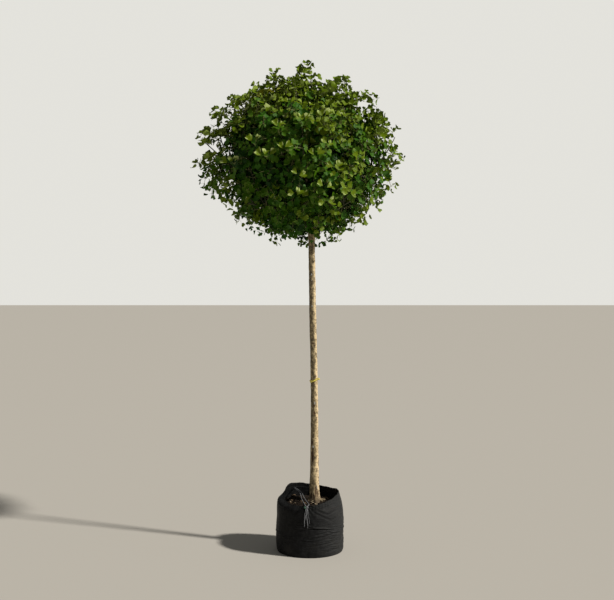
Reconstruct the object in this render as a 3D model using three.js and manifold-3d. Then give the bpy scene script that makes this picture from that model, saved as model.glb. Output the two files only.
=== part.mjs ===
// A globe-headed standard sapling that stands in a round planting bag of soil.
// Millimetres, +Z up, +X to the right of the tree's front, the front looking along -Y.
// The origin is under the middle of the bag, on its flat underside.
import * as THREE from "three";
import { mergeVertices } from "three/addons/utils/BufferGeometryUtils.js";
import Module from "manifold-3d";

const wasm = await Module();
wasm.setup();

const GAP = 0.3; // clearance between neighbouring pieces

// The planting bag. Its tables run round the bag in steps of 45 degrees, from +X towards +Y.
const BAG_RADIUS = 202;
const BAG_FOOT_RADIUS = 194;
const BAG_WALL = 3;
const BAG_SIDES = 32;
const SHOULDER_HEIGHTS = [272, 272, 280, 292, 296, 276, 262, 262];
const SHOULDER_RADII = [194, 192, 192, 192, 195, 197, 198, 198];
const LIP_HEIGHTS = [350, 344, 356, 366, 312, 299, 300, 328];
const LIP_RADII = [168, 171, 172, 176, 152, 168, 187, 178];

// The root ball's soil inside the bag.
const SOIL_LEVEL = 286;
const SOIL_SAG = 10; // how much lower it lies at the bag's wall
// Rings across its top: share of the way from the trunk to the wall, and how much lower each is.
const SOIL_RINGS = [
  [0.72, 4],
  [0.45, 0],
];

// The trunk: where its centre line stands at each height, its radius there, and its root flare.
const TRUNK_LINE = [
  [26, SOIL_LEVEL],
  [27, 690],
  [25, 1010],
  [16, 1440],
  [10, 1836],
  [8, 2000],
];
const TRUNK_RADII = [
  [SOIL_LEVEL, 42],
  [300, 36],
  [322, 32],
  [360, 29.5],
  [440, 26.5],
  [600, 24],
  [810, 22],
  [1080, 20.5],
  [1440, 20.5],
  [1700, 19.5],
  [1860, 20],
  [1915, 25],
  [1945, 33],
  [1970, 32],
  [1990, 22],
  [1997, 10],
];
const TRUNK_SIDES = 16;
const ROOT_LOBES = 5;
const ROOT_LOBE_SHARE = 0.42; // of the radius, at the cut
const ROOT_LOBE_HEIGHT = 60;
const ROOT_LOBE_TURN = 0.6;

// The graft at the top of the trunk, which every bough leaves.
const GRAFT = new THREE.Vector3(8, 0, 1952);

// The crown: an egg-shaped outline that the tips of the leaves reach.
const CROWN_CENTRE = new THREE.Vector3(-50, 0, 2392);
const CROWN_HALF_WIDTH = 622;
const CROWN_HALF_DEPTH = 610;
const CROWN_RISE = 528;
const CROWN_DROP = 545;
const CROWN_POWER_ABOVE = 1.8;
const CROWN_POWER_BELOW = 2.1;

// Rings of foliage masses, each mass on a bough of its own.
// start is how far from the trunk's middle and above the graft its boughs begin, and arch is
// how far they rise over a straight line, as a share of their length.
const RINGS = [
  { name: "low", count: 4, elevation: -32, turn: 40, start: [18, -26], arch: 0.03 },
  { name: "mid", count: 5, elevation: 2, turn: 54, start: [24, 0], arch: 0.1 },
  { name: "high", count: 4, elevation: 42, turn: 46, start: [19, 18], arch: 0.12 },
  { name: "top", count: 1, elevation: 90, turn: 0, start: [0, 20], arch: 0 },
];
const CELL_SHARE = 0.62; // of the way to the outline, where a mass has its middle
const CELL_MARGIN = 1.5; // from the plane halfway to a neighbour's middle
const FOOT_SHARE = 0.5; // of the way from the graft to the outline, where a bough meets its mass
const STEM_SHARE = 0.8; // the same, where the mass's stem ends

const BOUGH_SIDES = 6;
const BOUGH_STEPS = 4;
const BOUGH_RADIUS = 9;
const BOUGH_TIP_RADIUS = 6.5;
const STEM_TIP_RADIUS = 4.5;
const STEM_STEPS = 2;
const TWIG_RADIUS = 3.8;
const TWIG_TIP_RADIUS = 3.2;
const TWIG_STEPS = 2;
const TWIG_BEND = 0.14; // of its length
const TWIG_SLOPES = [0.8, 0.45, 1.2, 0.15, 1.8];
const TIP_INSET = 50; // from the crown's outline, or a shoot's reach, back to the twig's end

// Twigs and leaves. The standing shoots pass the outline in the plane that faces the front:
// degrees round the crown from +X, and how far the leaves reach as a share of the outline.
const TWIGS = 92;
const REACH_LEAST = 0.93;
const REACH_MOST = 1.03;
const STANDING_SHOOTS = [
  [8, 1.1],
  [27, 1.06],
  [48, 1.07],
  [66, 1.05],
  [90, 1.05],
  [111, 1.06],
  [144, 1.1],
  [161, 1.08],
  [175, 1.13],
  [190, 1.12],
  [222, 1.05],
  [310, 1.04],
];
const LEAF_LENGTH = 136;
const LEAF_WIDTH = 160;
const LEAF_THICKNESS = 3;
const LEAF_CUP = 0.12; // of the length, how far the middle lies below the rim
const LEAF_SINK = 0.7; // of the twig's radius, how far its foot runs back past the middle
const LEAF_ATTEMPTS = 15;
const LIGHT_FROM_ABOVE = 0.35; // how much more the leaves look up than outwards
// Where the leaves sit along a twig, as shares of its length, and their lean away from it.
const LEAF_PLACES = [
  [0.97, 60],
  [0.92, 66],
  [0.86, 70],
  [0.76, 74],
  [0.6, 78],
];
// A fan leaf's outline, as shares of its length and width, from its foot round by one side.
const FAN_OUTLINE = [
  [0, 0],
  [0.84, 0.5],
  [0.96, 0],
  [0.84, -0.5],
];
const FAN_MIDDLE = 0.35; // where the blade is thickest

// The drawstring: where its knot hangs on the lip as a share of the way round, the degrees at
// which it leaves the collar, and how far the tails hang from the bag's axis at each height.
const DRAWSTRING_RADIUS = 2.5;
const KNOT_SHARE = 0.733;
const COLLAR_EXIT = 123;
const TAIL_LINE = [
  [190, 205],
  [240, 205],
  [262, 202],
  [290, 198],
];

const TIE_HEIGHT = 1013;
const TIE_TILT = 24; // degrees

const GOLDEN_ANGLE = 180 * (3 - Math.sqrt(5)); // degrees
const SEED = 11;

const COLOURS = {
  bag: 0x1d1f20,
  soil: 0x2c211a,
  bark: 0x8a8570,
  leaf: 0x3f6b1c,
  cord: 0x3a3d40,
  tie: 0xd8c83a,
};

const radians = THREE.MathUtils.degToRad;
const degrees = THREE.MathUtils.radToDeg;

// A number from 0 to 1 that depends only on the seed and the two counters.
function chance(k, lane) {
  const s = Math.sin(SEED * 12.9898 + k * 78.233 + lane * 37.719) * 43758.5453;
  return s - Math.floor(s);
}

// A closed geometry as a solid that can be joined and cut.
function solidFrom(geometry) {
  const bare = geometry.clone();
  bare.deleteAttribute("normal");
  bare.deleteAttribute("uv");
  const merged = mergeVertices(bare, 1e-4);
  return new wasm.Manifold(
    new wasm.Mesh({
      numProp: 3,
      vertProperties: merged.attributes.position.array,
      triVerts: new Uint32Array(merged.index.array),
    }),
  );
}

// The largest body of a solid as a geometry. Loose scraps and sealed hollows are left behind.
function geometryFrom(solid) {
  const bodies = solid.decompose().sort((a, b) => b.volume() - a.volume());
  const mesh = bodies[0].getMesh();
  const geometry = new THREE.BufferGeometry();
  geometry.setAttribute("position", new THREE.BufferAttribute(mesh.vertProperties, 3));
  geometry.setIndex(new THREE.BufferAttribute(mesh.triVerts, 1));
  return geometry;
}

function meshOf(name, geometry, color, roughness) {
  const material = new THREE.MeshStandardMaterial({ color, roughness, metalness: 0 });
  const mesh = new THREE.Mesh(geometry, material);
  mesh.name = name;
  return mesh;
}

// Straight-line reading of a table of [position, value] rows.
function readTable(rows, at) {
  const last = rows.length - 1;
  if (at <= rows[0][0]) return rows[0][1];
  for (let i = 0; i < last; i++) {
    const [from, low] = rows[i];
    const [to, high] = rows[i + 1];
    if (at <= to) return THREE.MathUtils.lerp(low, high, (at - from) / (to - from));
  }
  return rows[last][1];
}

// A closed cylinder of rings from the foot up, each vertex moved by place(ring, x, y), where
// x, y is its unit direction from the axis and 0, 0 the middle of an end.
function ringForm(rings, sides, place) {
  const form = new THREE.CylinderGeometry(1, 1, 1, sides, rings - 1);
  const places = form.attributes.position;
  for (let v = 0; v < places.count; v++) {
    const ring = Math.round((places.getY(v) + 0.5) * (rings - 1));
    const point = place(ring, places.getX(v), -places.getZ(v));
    places.setXYZ(v, point.x, point.y, point.z);
  }
  return form;
}

// A limb: a closed cylinder bent along a curve, radiusAt giving its radius by share of length.
function limb(curve, radiusAt, sides, steps) {
  const geometry = new THREE.CylinderGeometry(1, 1, 1, sides, steps);
  const frames = curve.computeFrenetFrames(steps, false);
  const places = geometry.attributes.position;
  for (let v = 0; v < places.count; v++) {
    const share = places.getY(v) + 0.5;
    const step = Math.round(share * steps);
    const radius = radiusAt(share);
    const point = curve
      .getPointAt(share)
      .addScaledVector(frames.normals[step], places.getX(v) * radius)
      .addScaledVector(frames.binormals[step], -places.getZ(v) * radius);
    places.setXYZ(v, point.x, point.y, point.z);
  }
  return geometry;
}

// A point on a bent limb's middle line, which runs straight from step to step.
function onLimb(curve, share, steps) {
  const at = Math.min(Math.floor(share * steps), steps - 1);
  return curve.getPointAt(at / steps).lerp(curve.getPointAt((at + 1) / steps), share * steps - at);
}

// Closed curves round the bag: its profile from the underside's edge to the lip.
const BAG_STEPS = 8;
function bagRing(radii, heights) {
  const corners = radii.map((radius, i) => {
    const angle = (i * 2 * Math.PI) / BAG_STEPS;
    return new THREE.Vector3(radius * Math.cos(angle), radius * Math.sin(angle), heights[i]);
  });
  return new THREE.CatmullRomCurve3(corners, true);
}
const evenRing = (radius, height) =>
  bagRing(Array(BAG_STEPS).fill(radius), Array(BAG_STEPS).fill(height));
const BAG_PROFILE = [
  evenRing(BAG_FOOT_RADIUS, 0),
  evenRing(BAG_RADIUS - 3, 7),
  evenRing(BAG_RADIUS - 0.5, 24),
  evenRing(BAG_RADIUS, 100),
  evenRing(BAG_RADIUS - 0.5, 190),
  bagRing(SHOULDER_RADII, SHOULDER_HEIGHTS),
  bagRing(LIP_RADII, LIP_HEIGHTS),
];

// The point of profile ring k in direction x, y, moved inwards across the wall by depth.
function bagPoint(k, x, y, depth) {
  const share = (Math.atan2(y, x) / (2 * Math.PI) + 1) % 1;
  const point = BAG_PROFILE[k].getPoint(share);
  const before = BAG_PROFILE[Math.max(k - 1, 0)].getPoint(share);
  const after = BAG_PROFILE[Math.min(k + 1, BAG_PROFILE.length - 1)].getPoint(share);
  const outwards = new THREE.Vector3(point.x, point.y, 0).normalize();
  const run = Math.hypot(after.x, after.y) - Math.hypot(before.x, before.y);
  const rise = after.z - before.z;
  const length = Math.hypot(run, rise);
  point.addScaledVector(outwards, (-depth * rise) / length);
  point.z += (depth * run) / length;
  return point;
}

// The bag: up its outside, over the lip and down its inside.
function makeBag() {
  const walls = BAG_PROFILE.length;
  return ringForm(2 * walls, BAG_SIDES, (k, x, y) => {
    if (Math.hypot(x, y) < 0.5) return new THREE.Vector3(0, 0, k ? BAG_WALL : 0);
    if (k < walls) return bagPoint(k, x, y, 0);
    const point = bagPoint(2 * walls - 1 - k, x, y, BAG_WALL);
    point.z = Math.max(point.z, BAG_WALL);
    return point;
  });
}

// The soil: up the inside of the bag, then in across the top to a flat seat for the trunk.
function makeSoil() {
  const foot = trunkCentre(SOIL_LEVEL);
  const edges = BAG_PROFILE.length - 2;
  const rings = edges + 1 + SOIL_RINGS.length;
  const inset = BAG_WALL + 3 * GAP;
  return ringForm(rings, BAG_SIDES, (k, x, y) => {
    if (Math.hypot(x, y) < 0.5) return k ? foot : new THREE.Vector3(0, 0, BAG_WALL + GAP);
    const wall = bagPoint(Math.min(k, edges), x, y, inset);
    wall.z = Math.max(wall.z, BAG_WALL + GAP);
    if (k < edges) return wall;
    const below = bagPoint(edges - 1, x, y, inset);
    const height = SOIL_LEVEL - SOIL_SAG * (1 + 0.4 * Math.sin(3 * Math.atan2(y, x)));
    below.lerp(wall, Math.min(1, (height - below.z) / (wall.z - below.z)));
    if (k === edges) return below;
    const [share, drop] = SOIL_RINGS[k - edges - 1];
    const point = foot.clone().lerp(below, share);
    point.z = SOIL_LEVEL - drop;
    return point;
  });
}

function trunkCentre(height) {
  const line = new THREE.CatmullRomCurve3(TRUNK_LINE.map(([x, z]) => new THREE.Vector3(x, 0, z)));
  const [bottom, top] = [SOIL_LEVEL, TRUNK_LINE[TRUNK_LINE.length - 1][1]];
  let share = (height - bottom) / (top - bottom);
  for (let pass = 0; pass < 6; pass++) {
    share += (height - line.getPointAt(THREE.MathUtils.clamp(share, 0, 1)).z) / (top - bottom);
  }
  const x = line.getPointAt(THREE.MathUtils.clamp(share, 0, 1)).x;
  return new THREE.Vector3(x, 0, height);
}

// The trunk, or the trunk grown by grow to cut its neighbours clear of it.
function makeTrunk(grow) {
  const top = TRUNK_RADII.length - 1;
  return ringForm(TRUNK_RADII.length, TRUNK_SIDES, (k, x, y) => {
    const [level, radius] = TRUNK_RADII[k];
    const height = level + (k ? 0 : GAP) + (k === top ? grow : 0);
    const fade = Math.max(0, 1 - (level - SOIL_LEVEL) / ROOT_LOBE_HEIGHT) ** 2;
    const lobe = Math.max(0, Math.cos(ROOT_LOBES * Math.atan2(y, x) + ROOT_LOBE_TURN));
    const wide = radius * (1 + ROOT_LOBE_SHARE * fade * lobe) + grow;
    return trunkCentre(height).add(new THREE.Vector3(x * wide, y * wide, 0));
  });
}

// How far the crown's outline lies from its middle along a unit direction.
function outlineRadius(direction) {
  const across = Math.hypot(direction.x / CROWN_HALF_WIDTH, direction.y / CROWN_HALF_DEPTH);
  const rises = direction.z > 0;
  const up = Math.abs(direction.z) / (rises ? CROWN_RISE : CROWN_DROP);
  const power = rises ? CROWN_POWER_ABOVE : CROWN_POWER_BELOW;
  return (across ** power + up ** power) ** (-1 / power);
}

function directionOf(azimuth, elevation) {
  const flat = Math.cos(radians(elevation));
  return new THREE.Vector3(
    flat * Math.cos(radians(azimuth)),
    flat * Math.sin(radians(azimuth)),
    Math.sin(radians(elevation)),
  );
}

function crownShare(point) {
  const offset = point.clone().sub(CROWN_CENTRE);
  const length = offset.length();
  return length / outlineRadius(offset.divideScalar(length));
}

const crownPoint = (direction, share) =>
  CROWN_CENTRE.clone().addScaledVector(direction, share * outlineRadius(direction));

// Every mass: its middle, and the curves of its bough and its stem.
function planMasses() {
  const masses = [];
  for (const ring of RINGS) {
    for (let i = 0; i < ring.count; i++) {
      const azimuth = ring.turn + (i * 360) / ring.count;
      const direction = directionOf(azimuth, ring.elevation);
      const edge = crownPoint(direction, 1);
      const [spread, lift] = ring.start;
      const origin = GRAFT.clone().addScaledVector(directionOf(azimuth, 0), spread);
      origin.z += lift;
      const foot = GRAFT.clone().lerp(edge, FOOT_SHARE);
      const end = GRAFT.clone().lerp(edge, STEM_SHARE);
      const bend = origin.clone().lerp(foot, 0.5);
      bend.z += ring.arch * foot.distanceTo(origin);
      const bough = new THREE.QuadraticBezierCurve3(origin, bend, foot);
      const heading = bough.getTangentAt(1);
      const start = foot.clone().addScaledVector(heading, GAP);
      const middle = start.clone().addScaledVector(heading, 0.5 * start.distanceTo(end));
      masses.push({
        name: ring.count > 1 ? `${ring.name}_${i + 1}` : ring.name,
        centre: crownPoint(direction, CELL_SHARE),
        bough,
        stem: new THREE.QuadraticBezierCurve3(start, middle, end),
      });
    }
  }
  return masses;
}

const boughRadius = (share) => THREE.MathUtils.lerp(BOUGH_RADIUS, BOUGH_TIP_RADIUS, share);
const stemRadius = (share) => THREE.MathUtils.lerp(BOUGH_TIP_RADIUS, STEM_TIP_RADIUS, share);
const twigRadius = (share) => THREE.MathUtils.lerp(TWIG_RADIUS, TWIG_TIP_RADIUS, share);

// The ends of the twigs: spread evenly over the outline by the golden angle, each a little
// inside or outside it, and the standing shoots.
function planTips() {
  const ends = [];
  for (let k = 0; k < TWIGS; k++) {
    const up = 1 - (2 * (k + 0.5)) / TWIGS;
    const direction = directionOf(k * GOLDEN_ANGLE, degrees(Math.asin(up)));
    ends.push([direction, THREE.MathUtils.lerp(REACH_LEAST, REACH_MOST, chance(k, 1))]);
  }
  for (const [angle, reach] of STANDING_SHOOTS) {
    ends.push([new THREE.Vector3(Math.cos(radians(angle)), 0, Math.sin(radians(angle))), reach]);
  }
  return ends.map(([direction, reach]) => ({
    point: crownPoint(direction, reach - TIP_INSET / outlineRadius(direction)),
    reach,
  }));
}

// A point keeps to a mass's own space if it is nearer its middle than any other, by a margin.
function inOwnSpace(point, mass, masses) {
  return masses.every((other) => {
    if (other === mass) return true;
    const apart = other.centre.distanceTo(mass.centre);
    const lead = point.distanceToSquared(other.centre) - point.distanceToSquared(mass.centre);
    return lead / (2 * apart) > CELL_MARGIN;
  });
}

// The limbs as balls along their length, for telling whether something comes too near. A stem's
// balls name the mass that it belongs to.
function planLimbBalls(masses) {
  const balls = [];
  const addLimb = (curve, radiusAt, stemOf) => {
    const steps = Math.ceil(curve.getLength() / 12);
    for (let i = 0; i <= steps; i++) {
      balls.push({ point: curve.getPointAt(i / steps), radius: radiusAt(i / steps), stemOf });
    }
  };
  for (const mass of masses) {
    addLimb(mass.bough, boughRadius, null);
    addLimb(mass.stem, stemRadius, mass);
  }
  for (let height = GRAFT.z - 150; height < GRAFT.z + 50; height += 12) {
    const radius = readTable(TRUNK_RADII, height);
    balls.push({ point: trunkCentre(height), radius, stemOf: null });
  }
  return balls;
}

const clearOfLimbs = (point, balls, room) =>
  balls.every((ball) => point.distanceTo(ball.point) > ball.radius + room);

// A fan leaf: a sphere of one ring drawn out to a shallow cup with a ridge, sharp at the rim.
function fanLeaf(foot, along, face, size) {
  const across = new THREE.Vector3().crossVectors(along, face);
  const length = LEAF_LENGTH * size;
  const width = LEAF_WIDTH * size;
  const corners = FAN_OUTLINE.length;
  const leaf = new THREE.SphereGeometry(1, corners, 2);
  const places = leaf.attributes.position;
  for (let v = 0; v < places.count; v++) {
    const pole = Math.round(places.getY(v));
    const turn = Math.atan2(places.getZ(v), -places.getX(v)) / (2 * Math.PI);
    const corner = Math.round(turn * corners + corners) % corners;
    const [forward, aside] = pole ? [FAN_MIDDLE, 0] : FAN_OUTLINE[corner];
    const lift = pole ? (pole * LEAF_THICKNESS) / 2 : 2 * LEAF_CUP * length * Math.abs(aside);
    const point = foot
      .clone()
      .addScaledVector(along, forward * length)
      .addScaledVector(across, aside * width)
      .addScaledVector(face, lift);
    places.setXYZ(v, point.x, point.y, point.z);
  }
  return leaf;
}

// Places to test a leaf by: its corners and middles, and halfway between each pair.
function leafSamples(leaf) {
  const points = [];
  for (let v = 0; v < leaf.attributes.position.count; v++) {
    points.push(new THREE.Vector3().fromBufferAttribute(leaf.attributes.position, v));
  }
  const between = points.map((point, i) =>
    point.clone().lerp(points[(i + 1) % points.length], 0.5),
  );
  const halfway = points.map((point) => point.clone().lerp(points[0], 0.5));
  return [...points, ...between, ...halfway];
}

// A leaf at a share of a twig, out of one of its three flats and sunk back to its far edge. It
// is turned on and made smaller until it has room, or left out.
function tryLeaf(twig, share, lean, flat, size, room) {
  const step = Math.min(Math.floor(share * TWIG_STEPS), TWIG_STEPS - 1);
  const heading = twig
    .getPointAt((step + 1) / TWIG_STEPS)
    .sub(twig.getPointAt(step / TWIG_STEPS))
    .normalize();
  const frames = twig.computeFrenetFrames(TWIG_STEPS, false);
  const middle = onLimb(twig, share, TWIG_STEPS);
  const light = middle.clone().sub(CROWN_CENTRE).normalize();
  light.z += LIGHT_FROM_ABOVE;
  for (let attempt = 0; attempt < LEAF_ATTEMPTS; attempt++) {
    const angle = radians(90 + 120 * (flat + attempt));
    const tilt = radians(lean + 3 * attempt);
    const side = frames.normals[step].clone().multiplyScalar(Math.cos(angle));
    side.addScaledVector(frames.binormals[step], Math.sin(angle));
    const along = heading.clone().multiplyScalar(Math.cos(tilt));
    along.addScaledVector(side, Math.sin(tilt)).normalize();
    const face = light.clone().addScaledVector(along, -light.dot(along)).normalize();
    const foot = middle.clone().addScaledVector(along, -LEAF_SINK * twigRadius(share));
    const leaf = fanLeaf(foot, along, face, size * (1 - 0.02 * attempt));
    if (!leafSamples(leaf).every(room.fits)) continue;
    const solid = solidFrom(leaf);
    if (room.taken.intersect(solid).isEmpty()) return solid;
  }
  return null;
}

// A twig leaves the stem behind its tip and bends over towards it; slope is how steeply.
function twigCurve(tip, stem, slope) {
  const start = stem.getPointAt(0);
  const run = stem.getPointAt(1).sub(start);
  const heading = run.clone().normalize();
  const offset = tip.clone().sub(start);
  const ahead = offset.dot(heading);
  const aside = offset.addScaledVector(heading, -ahead).length();
  const share = THREE.MathUtils.clamp((ahead - slope * aside) / run.length(), 0.1, 0.97);
  const root = onLimb(stem, share, STEM_STEPS);
  const bend = root.clone().lerp(tip, 0.5);
  bend.addScaledVector(stem.getTangentAt(share), TWIG_BEND * root.distanceTo(tip));
  return new THREE.QuadraticBezierCurve3(root, bend, tip);
}

// The first of several slopes at which a twig keeps to its space and clear of other limbs.
function planTwig(tip, mass, masses, balls) {
  for (const slope of TWIG_SLOPES) {
    const twig = twigCurve(tip, mass.stem, slope);
    const points = twig.getSpacedPoints(Math.ceil(twig.getLength() / 12));
    const clear = points.every(
      (point) => inOwnSpace(point, mass, masses) && clearOfLimbs(point, balls, 8),
    );
    if (clear) return twig;
  }
  return null;
}

// One mass of foliage: a stem, its twigs, and their leaves, fused. No leaf crosses another
// leaf or another twig.
function growMass(mass, masses, tips, limbBalls) {
  const balls = limbBalls.filter((ball) => ball.stemOf !== mass);
  const shoots = [];
  tips.forEach((tip, k) => {
    const twig = inOwnSpace(tip.point, mass, masses) && planTwig(tip.point, mass, masses, balls);
    if (twig) shoots.push({ k, tip, twig, wood: solidFrom(limb(twig, twigRadius, 3, TWIG_STEPS)) });
  });
  const stem = solidFrom(limb(mass.stem, stemRadius, 5, STEM_STEPS));
  const leaves = [];
  for (const shoot of shoots) {
    const others = shoots.filter((other) => other !== shoot).map((other) => other.wood);
    const room = { taken: [...others, ...leaves].reduce((sum, solid) => sum.add(solid), stem) };
    room.fits = (point) =>
      crownShare(point) < Math.max(1, shoot.tip.reach) + 0.01 &&
      inOwnSpace(point, mass, masses) &&
      clearOfLimbs(point, balls, 14);
    LEAF_PLACES.forEach(([share, lean], i) => {
      const size = THREE.MathUtils.lerp(0.88, 1.08, chance(shoot.k, 3 + i));
      const leaf = tryLeaf(shoot.twig, share, lean, shoot.k + i, size, room);
      if (!leaf) return;
      leaves.push(leaf);
      room.taken = room.taken.add(leaf);
    });
  }
  const pieces = [...shoots.map((shoot) => shoot.wood), ...leaves];
  return geometryFrom(pieces.reduce((sum, solid) => sum.add(solid), stem));
}

// A round cord along a route of points, as one solid.
function cordSolid(route) {
  const section = new THREE.Shape();
  section.absarc(0, 0, DRAWSTRING_RADIUS, 0, 2 * Math.PI);
  const path = new THREE.CatmullRomCurve3(route);
  const steps = Math.ceil(path.getLength() / 16);
  const tube = new THREE.ExtrudeGeometry(section, {
    curveSegments: 3,
    steps,
    bevelEnabled: false,
    extrudePath: path,
  });
  return solidFrom(tube);
}

// The drawstring: two strands from inside the back of the collar, across the opening and over
// the front lip to a knot, and two tails that hang down the bag from it.
function makeDrawstring() {
  const lip = BAG_PROFILE[BAG_PROFILE.length - 1].getPoint(KNOT_SHARE);
  const knot = new THREE.Vector3(lip.x, lip.y - 9, lip.z - 5);
  const collar = LIP_RADII[3] - BAG_WALL - DRAWSTRING_RADIUS + 2;
  const down = [14, 30, 56, 106];
  let solid = new THREE.SphereGeometry(8, 6, 4).scale(1.1, 0.75, 1);
  solid = solidFrom(solid.translate(...knot.toArray()));
  for (const side of [-1, 1]) {
    const back = directionOf(COLLAR_EXIT - 1.6 * side, 0).multiplyScalar(collar);
    const strand = [
      back.setZ(336),
      new THREE.Vector3(-58 + 5 * side, 30, 334),
      new THREE.Vector3(-40 + 9 * side, -90, 320),
      new THREE.Vector3(lip.x + 12 * side, lip.y + 14, lip.z + DRAWSTRING_RADIUS + 5),
      new THREE.Vector3(lip.x + 8 * side, lip.y - 5, lip.z + DRAWSTRING_RADIUS + 3),
      new THREE.Vector3(knot.x + 2 * side, knot.y, knot.z),
    ];
    const tail = down.map((drop, i) => {
      const away = readTable(TAIL_LINE, knot.z - drop);
      return new THREE.Vector3(knot.x + (4 + 1.5 * i) * side, -away, knot.z - drop);
    });
    tail.unshift(new THREE.Vector3(knot.x + 2 * side, knot.y, knot.z));
    solid = solid.add(cordSolid(strand)).add(cordSolid(tail));
  }
  return geometryFrom(solid);
}

// The twine tied round the trunk, with one short end, cut clear of the bark.
function makeTie(trunkGrown) {
  const centre = trunkCentre(TIE_HEIGHT);
  const ring = new THREE.TorusGeometry(readTable(TRUNK_RADII, TIE_HEIGHT) + 1.6, 2.6, 6, 18);
  const end = new THREE.CylinderGeometry(1.8, 1.6, 22, 6);
  end.rotateZ(radians(-66)).translate(30, 9, 4);
  const solid = solidFrom(ring).add(solidFrom(end));
  const geometry = geometryFrom(solid).rotateY(radians(-TIE_TILT));
  geometry.translate(centre.x, centre.y, centre.z);
  return geometryFrom(solidFrom(geometry).subtract(trunkGrown));
}

const sapling = new THREE.Group();
sapling.name = "globe_headed_sapling";
const trunkGrown = solidFrom(makeTrunk(GAP));
const masses = planMasses();
const tips = planTips();
const balls = planLimbBalls(masses);

sapling.add(meshOf("root_bag", makeBag(), COLOURS.bag, 0.85));
sapling.add(meshOf("root_ball_soil", makeSoil(), COLOURS.soil, 1));
sapling.add(meshOf("bag_drawstring", makeDrawstring(), COLOURS.cord, 0.7));
sapling.add(meshOf("trunk", makeTrunk(0), COLOURS.bark, 0.9));
sapling.add(meshOf("trunk_tie", makeTie(trunkGrown), COLOURS.tie, 0.6));
for (const mass of masses) {
  const bough = solidFrom(limb(mass.bough, boughRadius, BOUGH_SIDES, BOUGH_STEPS));
  const clear = geometryFrom(bough.subtract(trunkGrown));
  sapling.add(meshOf(`bough_${mass.name}`, clear, COLOURS.bark, 0.9));
  const foliage = growMass(mass, masses, tips, balls);
  sapling.add(meshOf(`foliage_${mass.name}`, foliage, COLOURS.leaf, 0.6));
}

export default sapling;
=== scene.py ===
import bpy
import numpy as np
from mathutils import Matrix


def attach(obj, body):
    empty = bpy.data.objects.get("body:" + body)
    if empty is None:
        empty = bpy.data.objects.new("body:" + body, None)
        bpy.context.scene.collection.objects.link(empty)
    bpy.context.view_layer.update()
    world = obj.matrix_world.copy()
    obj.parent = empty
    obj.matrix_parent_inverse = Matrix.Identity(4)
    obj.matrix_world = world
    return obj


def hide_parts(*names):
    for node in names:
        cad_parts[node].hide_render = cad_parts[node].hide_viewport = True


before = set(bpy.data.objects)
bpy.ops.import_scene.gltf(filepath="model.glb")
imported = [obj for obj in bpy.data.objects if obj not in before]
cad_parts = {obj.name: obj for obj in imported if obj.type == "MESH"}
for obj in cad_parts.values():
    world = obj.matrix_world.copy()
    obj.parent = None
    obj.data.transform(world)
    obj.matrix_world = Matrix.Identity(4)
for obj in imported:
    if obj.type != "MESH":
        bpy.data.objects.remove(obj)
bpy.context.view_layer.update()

# A globe-headed standard sapling in a round fabric planting bag, in metres.
# +Z runs up the stem, and the side with the drawstring's knot looks along -Y.
print("frame loaded")


stage = {
    "eye": (-0.018, -5.3, 1.494),
    "lens": 51.77,  # millimetres on a 36 mm sensor
    "floorSize": 500.0,
    "floorColour": (0.54, 0.52, 0.485),
    "skyColour": (0.84, 0.83, 0.78),
    "skyLight": 0.175,  # what it gives the tree
    "skySeen": 0.92,  # what shows behind it
    "sunTurn": -22,  # degrees from +X, towards the viewer
    "sunHeight": 37,
    "sunSpread": 4,
    "sunPower": 4.05,
    "sunColour": (1.0, 0.95, 0.86),
}


def setStage():
    eye = bpy.data.objects.new("camera", bpy.data.cameras.new("camera"))
    eye.data.sensor_width = 36
    eye.data.lens = stage["lens"]
    eye.data.clip_end = 2 * stage["floorSize"]
    eye.location = stage["eye"]
    eye.rotation_euler = (np.pi / 2, 0, 0)
    sun = bpy.data.objects.new("sun", bpy.data.lights.new("sun", "SUN"))
    sun.data.energy = stage["sunPower"]
    sun.data.angle = np.radians(stage["sunSpread"])
    sun.data.color = stage["sunColour"]
    sun.rotation_euler = (0, np.radians(90 - stage["sunHeight"]), np.radians(stage["sunTurn"]))
    scene = bpy.context.scene
    scene.collection.objects.link(eye)
    scene.collection.objects.link(sun)
    scene.camera = eye
    scene.view_settings.view_transform = "Standard"
    sky = bpy.data.worlds.new("pale_sky")
    sky.use_nodes = True
    nodes = sky.node_tree.nodes
    seen = nodes.new("ShaderNodeLightPath").outputs["Is Camera Ray"]
    strength = nodes.new("ShaderNodeMapRange")
    strength.inputs["To Min"].default_value = stage["skyLight"]
    strength.inputs["To Max"].default_value = stage["skySeen"]
    sky.node_tree.links.new(seen, strength.inputs["Value"])
    sky.node_tree.links.new(strength.outputs[0], nodes["Background"].inputs["Strength"])
    nodes["Background"].inputs["Color"].default_value = (*stage["skyColour"], 1)
    scene.world = sky
    print("camera, sun and sky set")


def makeFloor():
    half = stage["floorSize"] / 2
    floor = bpy.data.meshes.new("floor")
    corners = [(-half, -half, 0), (half, -half, 0), (half, half, 0), (-half, half, 0)]
    floor.from_pydata(corners, [], [(0, 1, 2, 3)])
    floor.materials.append(startFinish("pale floor", stage["floorColour"], 0.9, 0.2)[0])
    piece = bpy.data.objects.new("floor", floor)
    bpy.context.scene.collection.objects.link(piece)
    print("floor:", stage["floorSize"], "m square")


def unit(vectors):  # the same directions at length one
    return vectors / np.maximum(np.linalg.norm(vectors, axis=-1, keepdims=True), 1e-12)


def mix(low, high, share):  # low + (high - low) * share
    return low + (high - low) * share


def dot(one, two):  # keeps the last axis, at length one
    return (one * two).sum(-1, keepdims=True)


def softStep(low, high, value):  # 0 below and 1 above, by s*s*(3 - 2s) between
    share = np.clip((value - low) / (high - low), 0, 1)
    return share * share * (3 - 2 * share)


def turnApart(angle, other):  # from -pi to pi
    return (angle - other + np.pi) % (2 * np.pi) - np.pi


def roundSteps(count):  # even angles all the way round
    return np.arange(count) * 2 * np.pi / count


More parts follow.
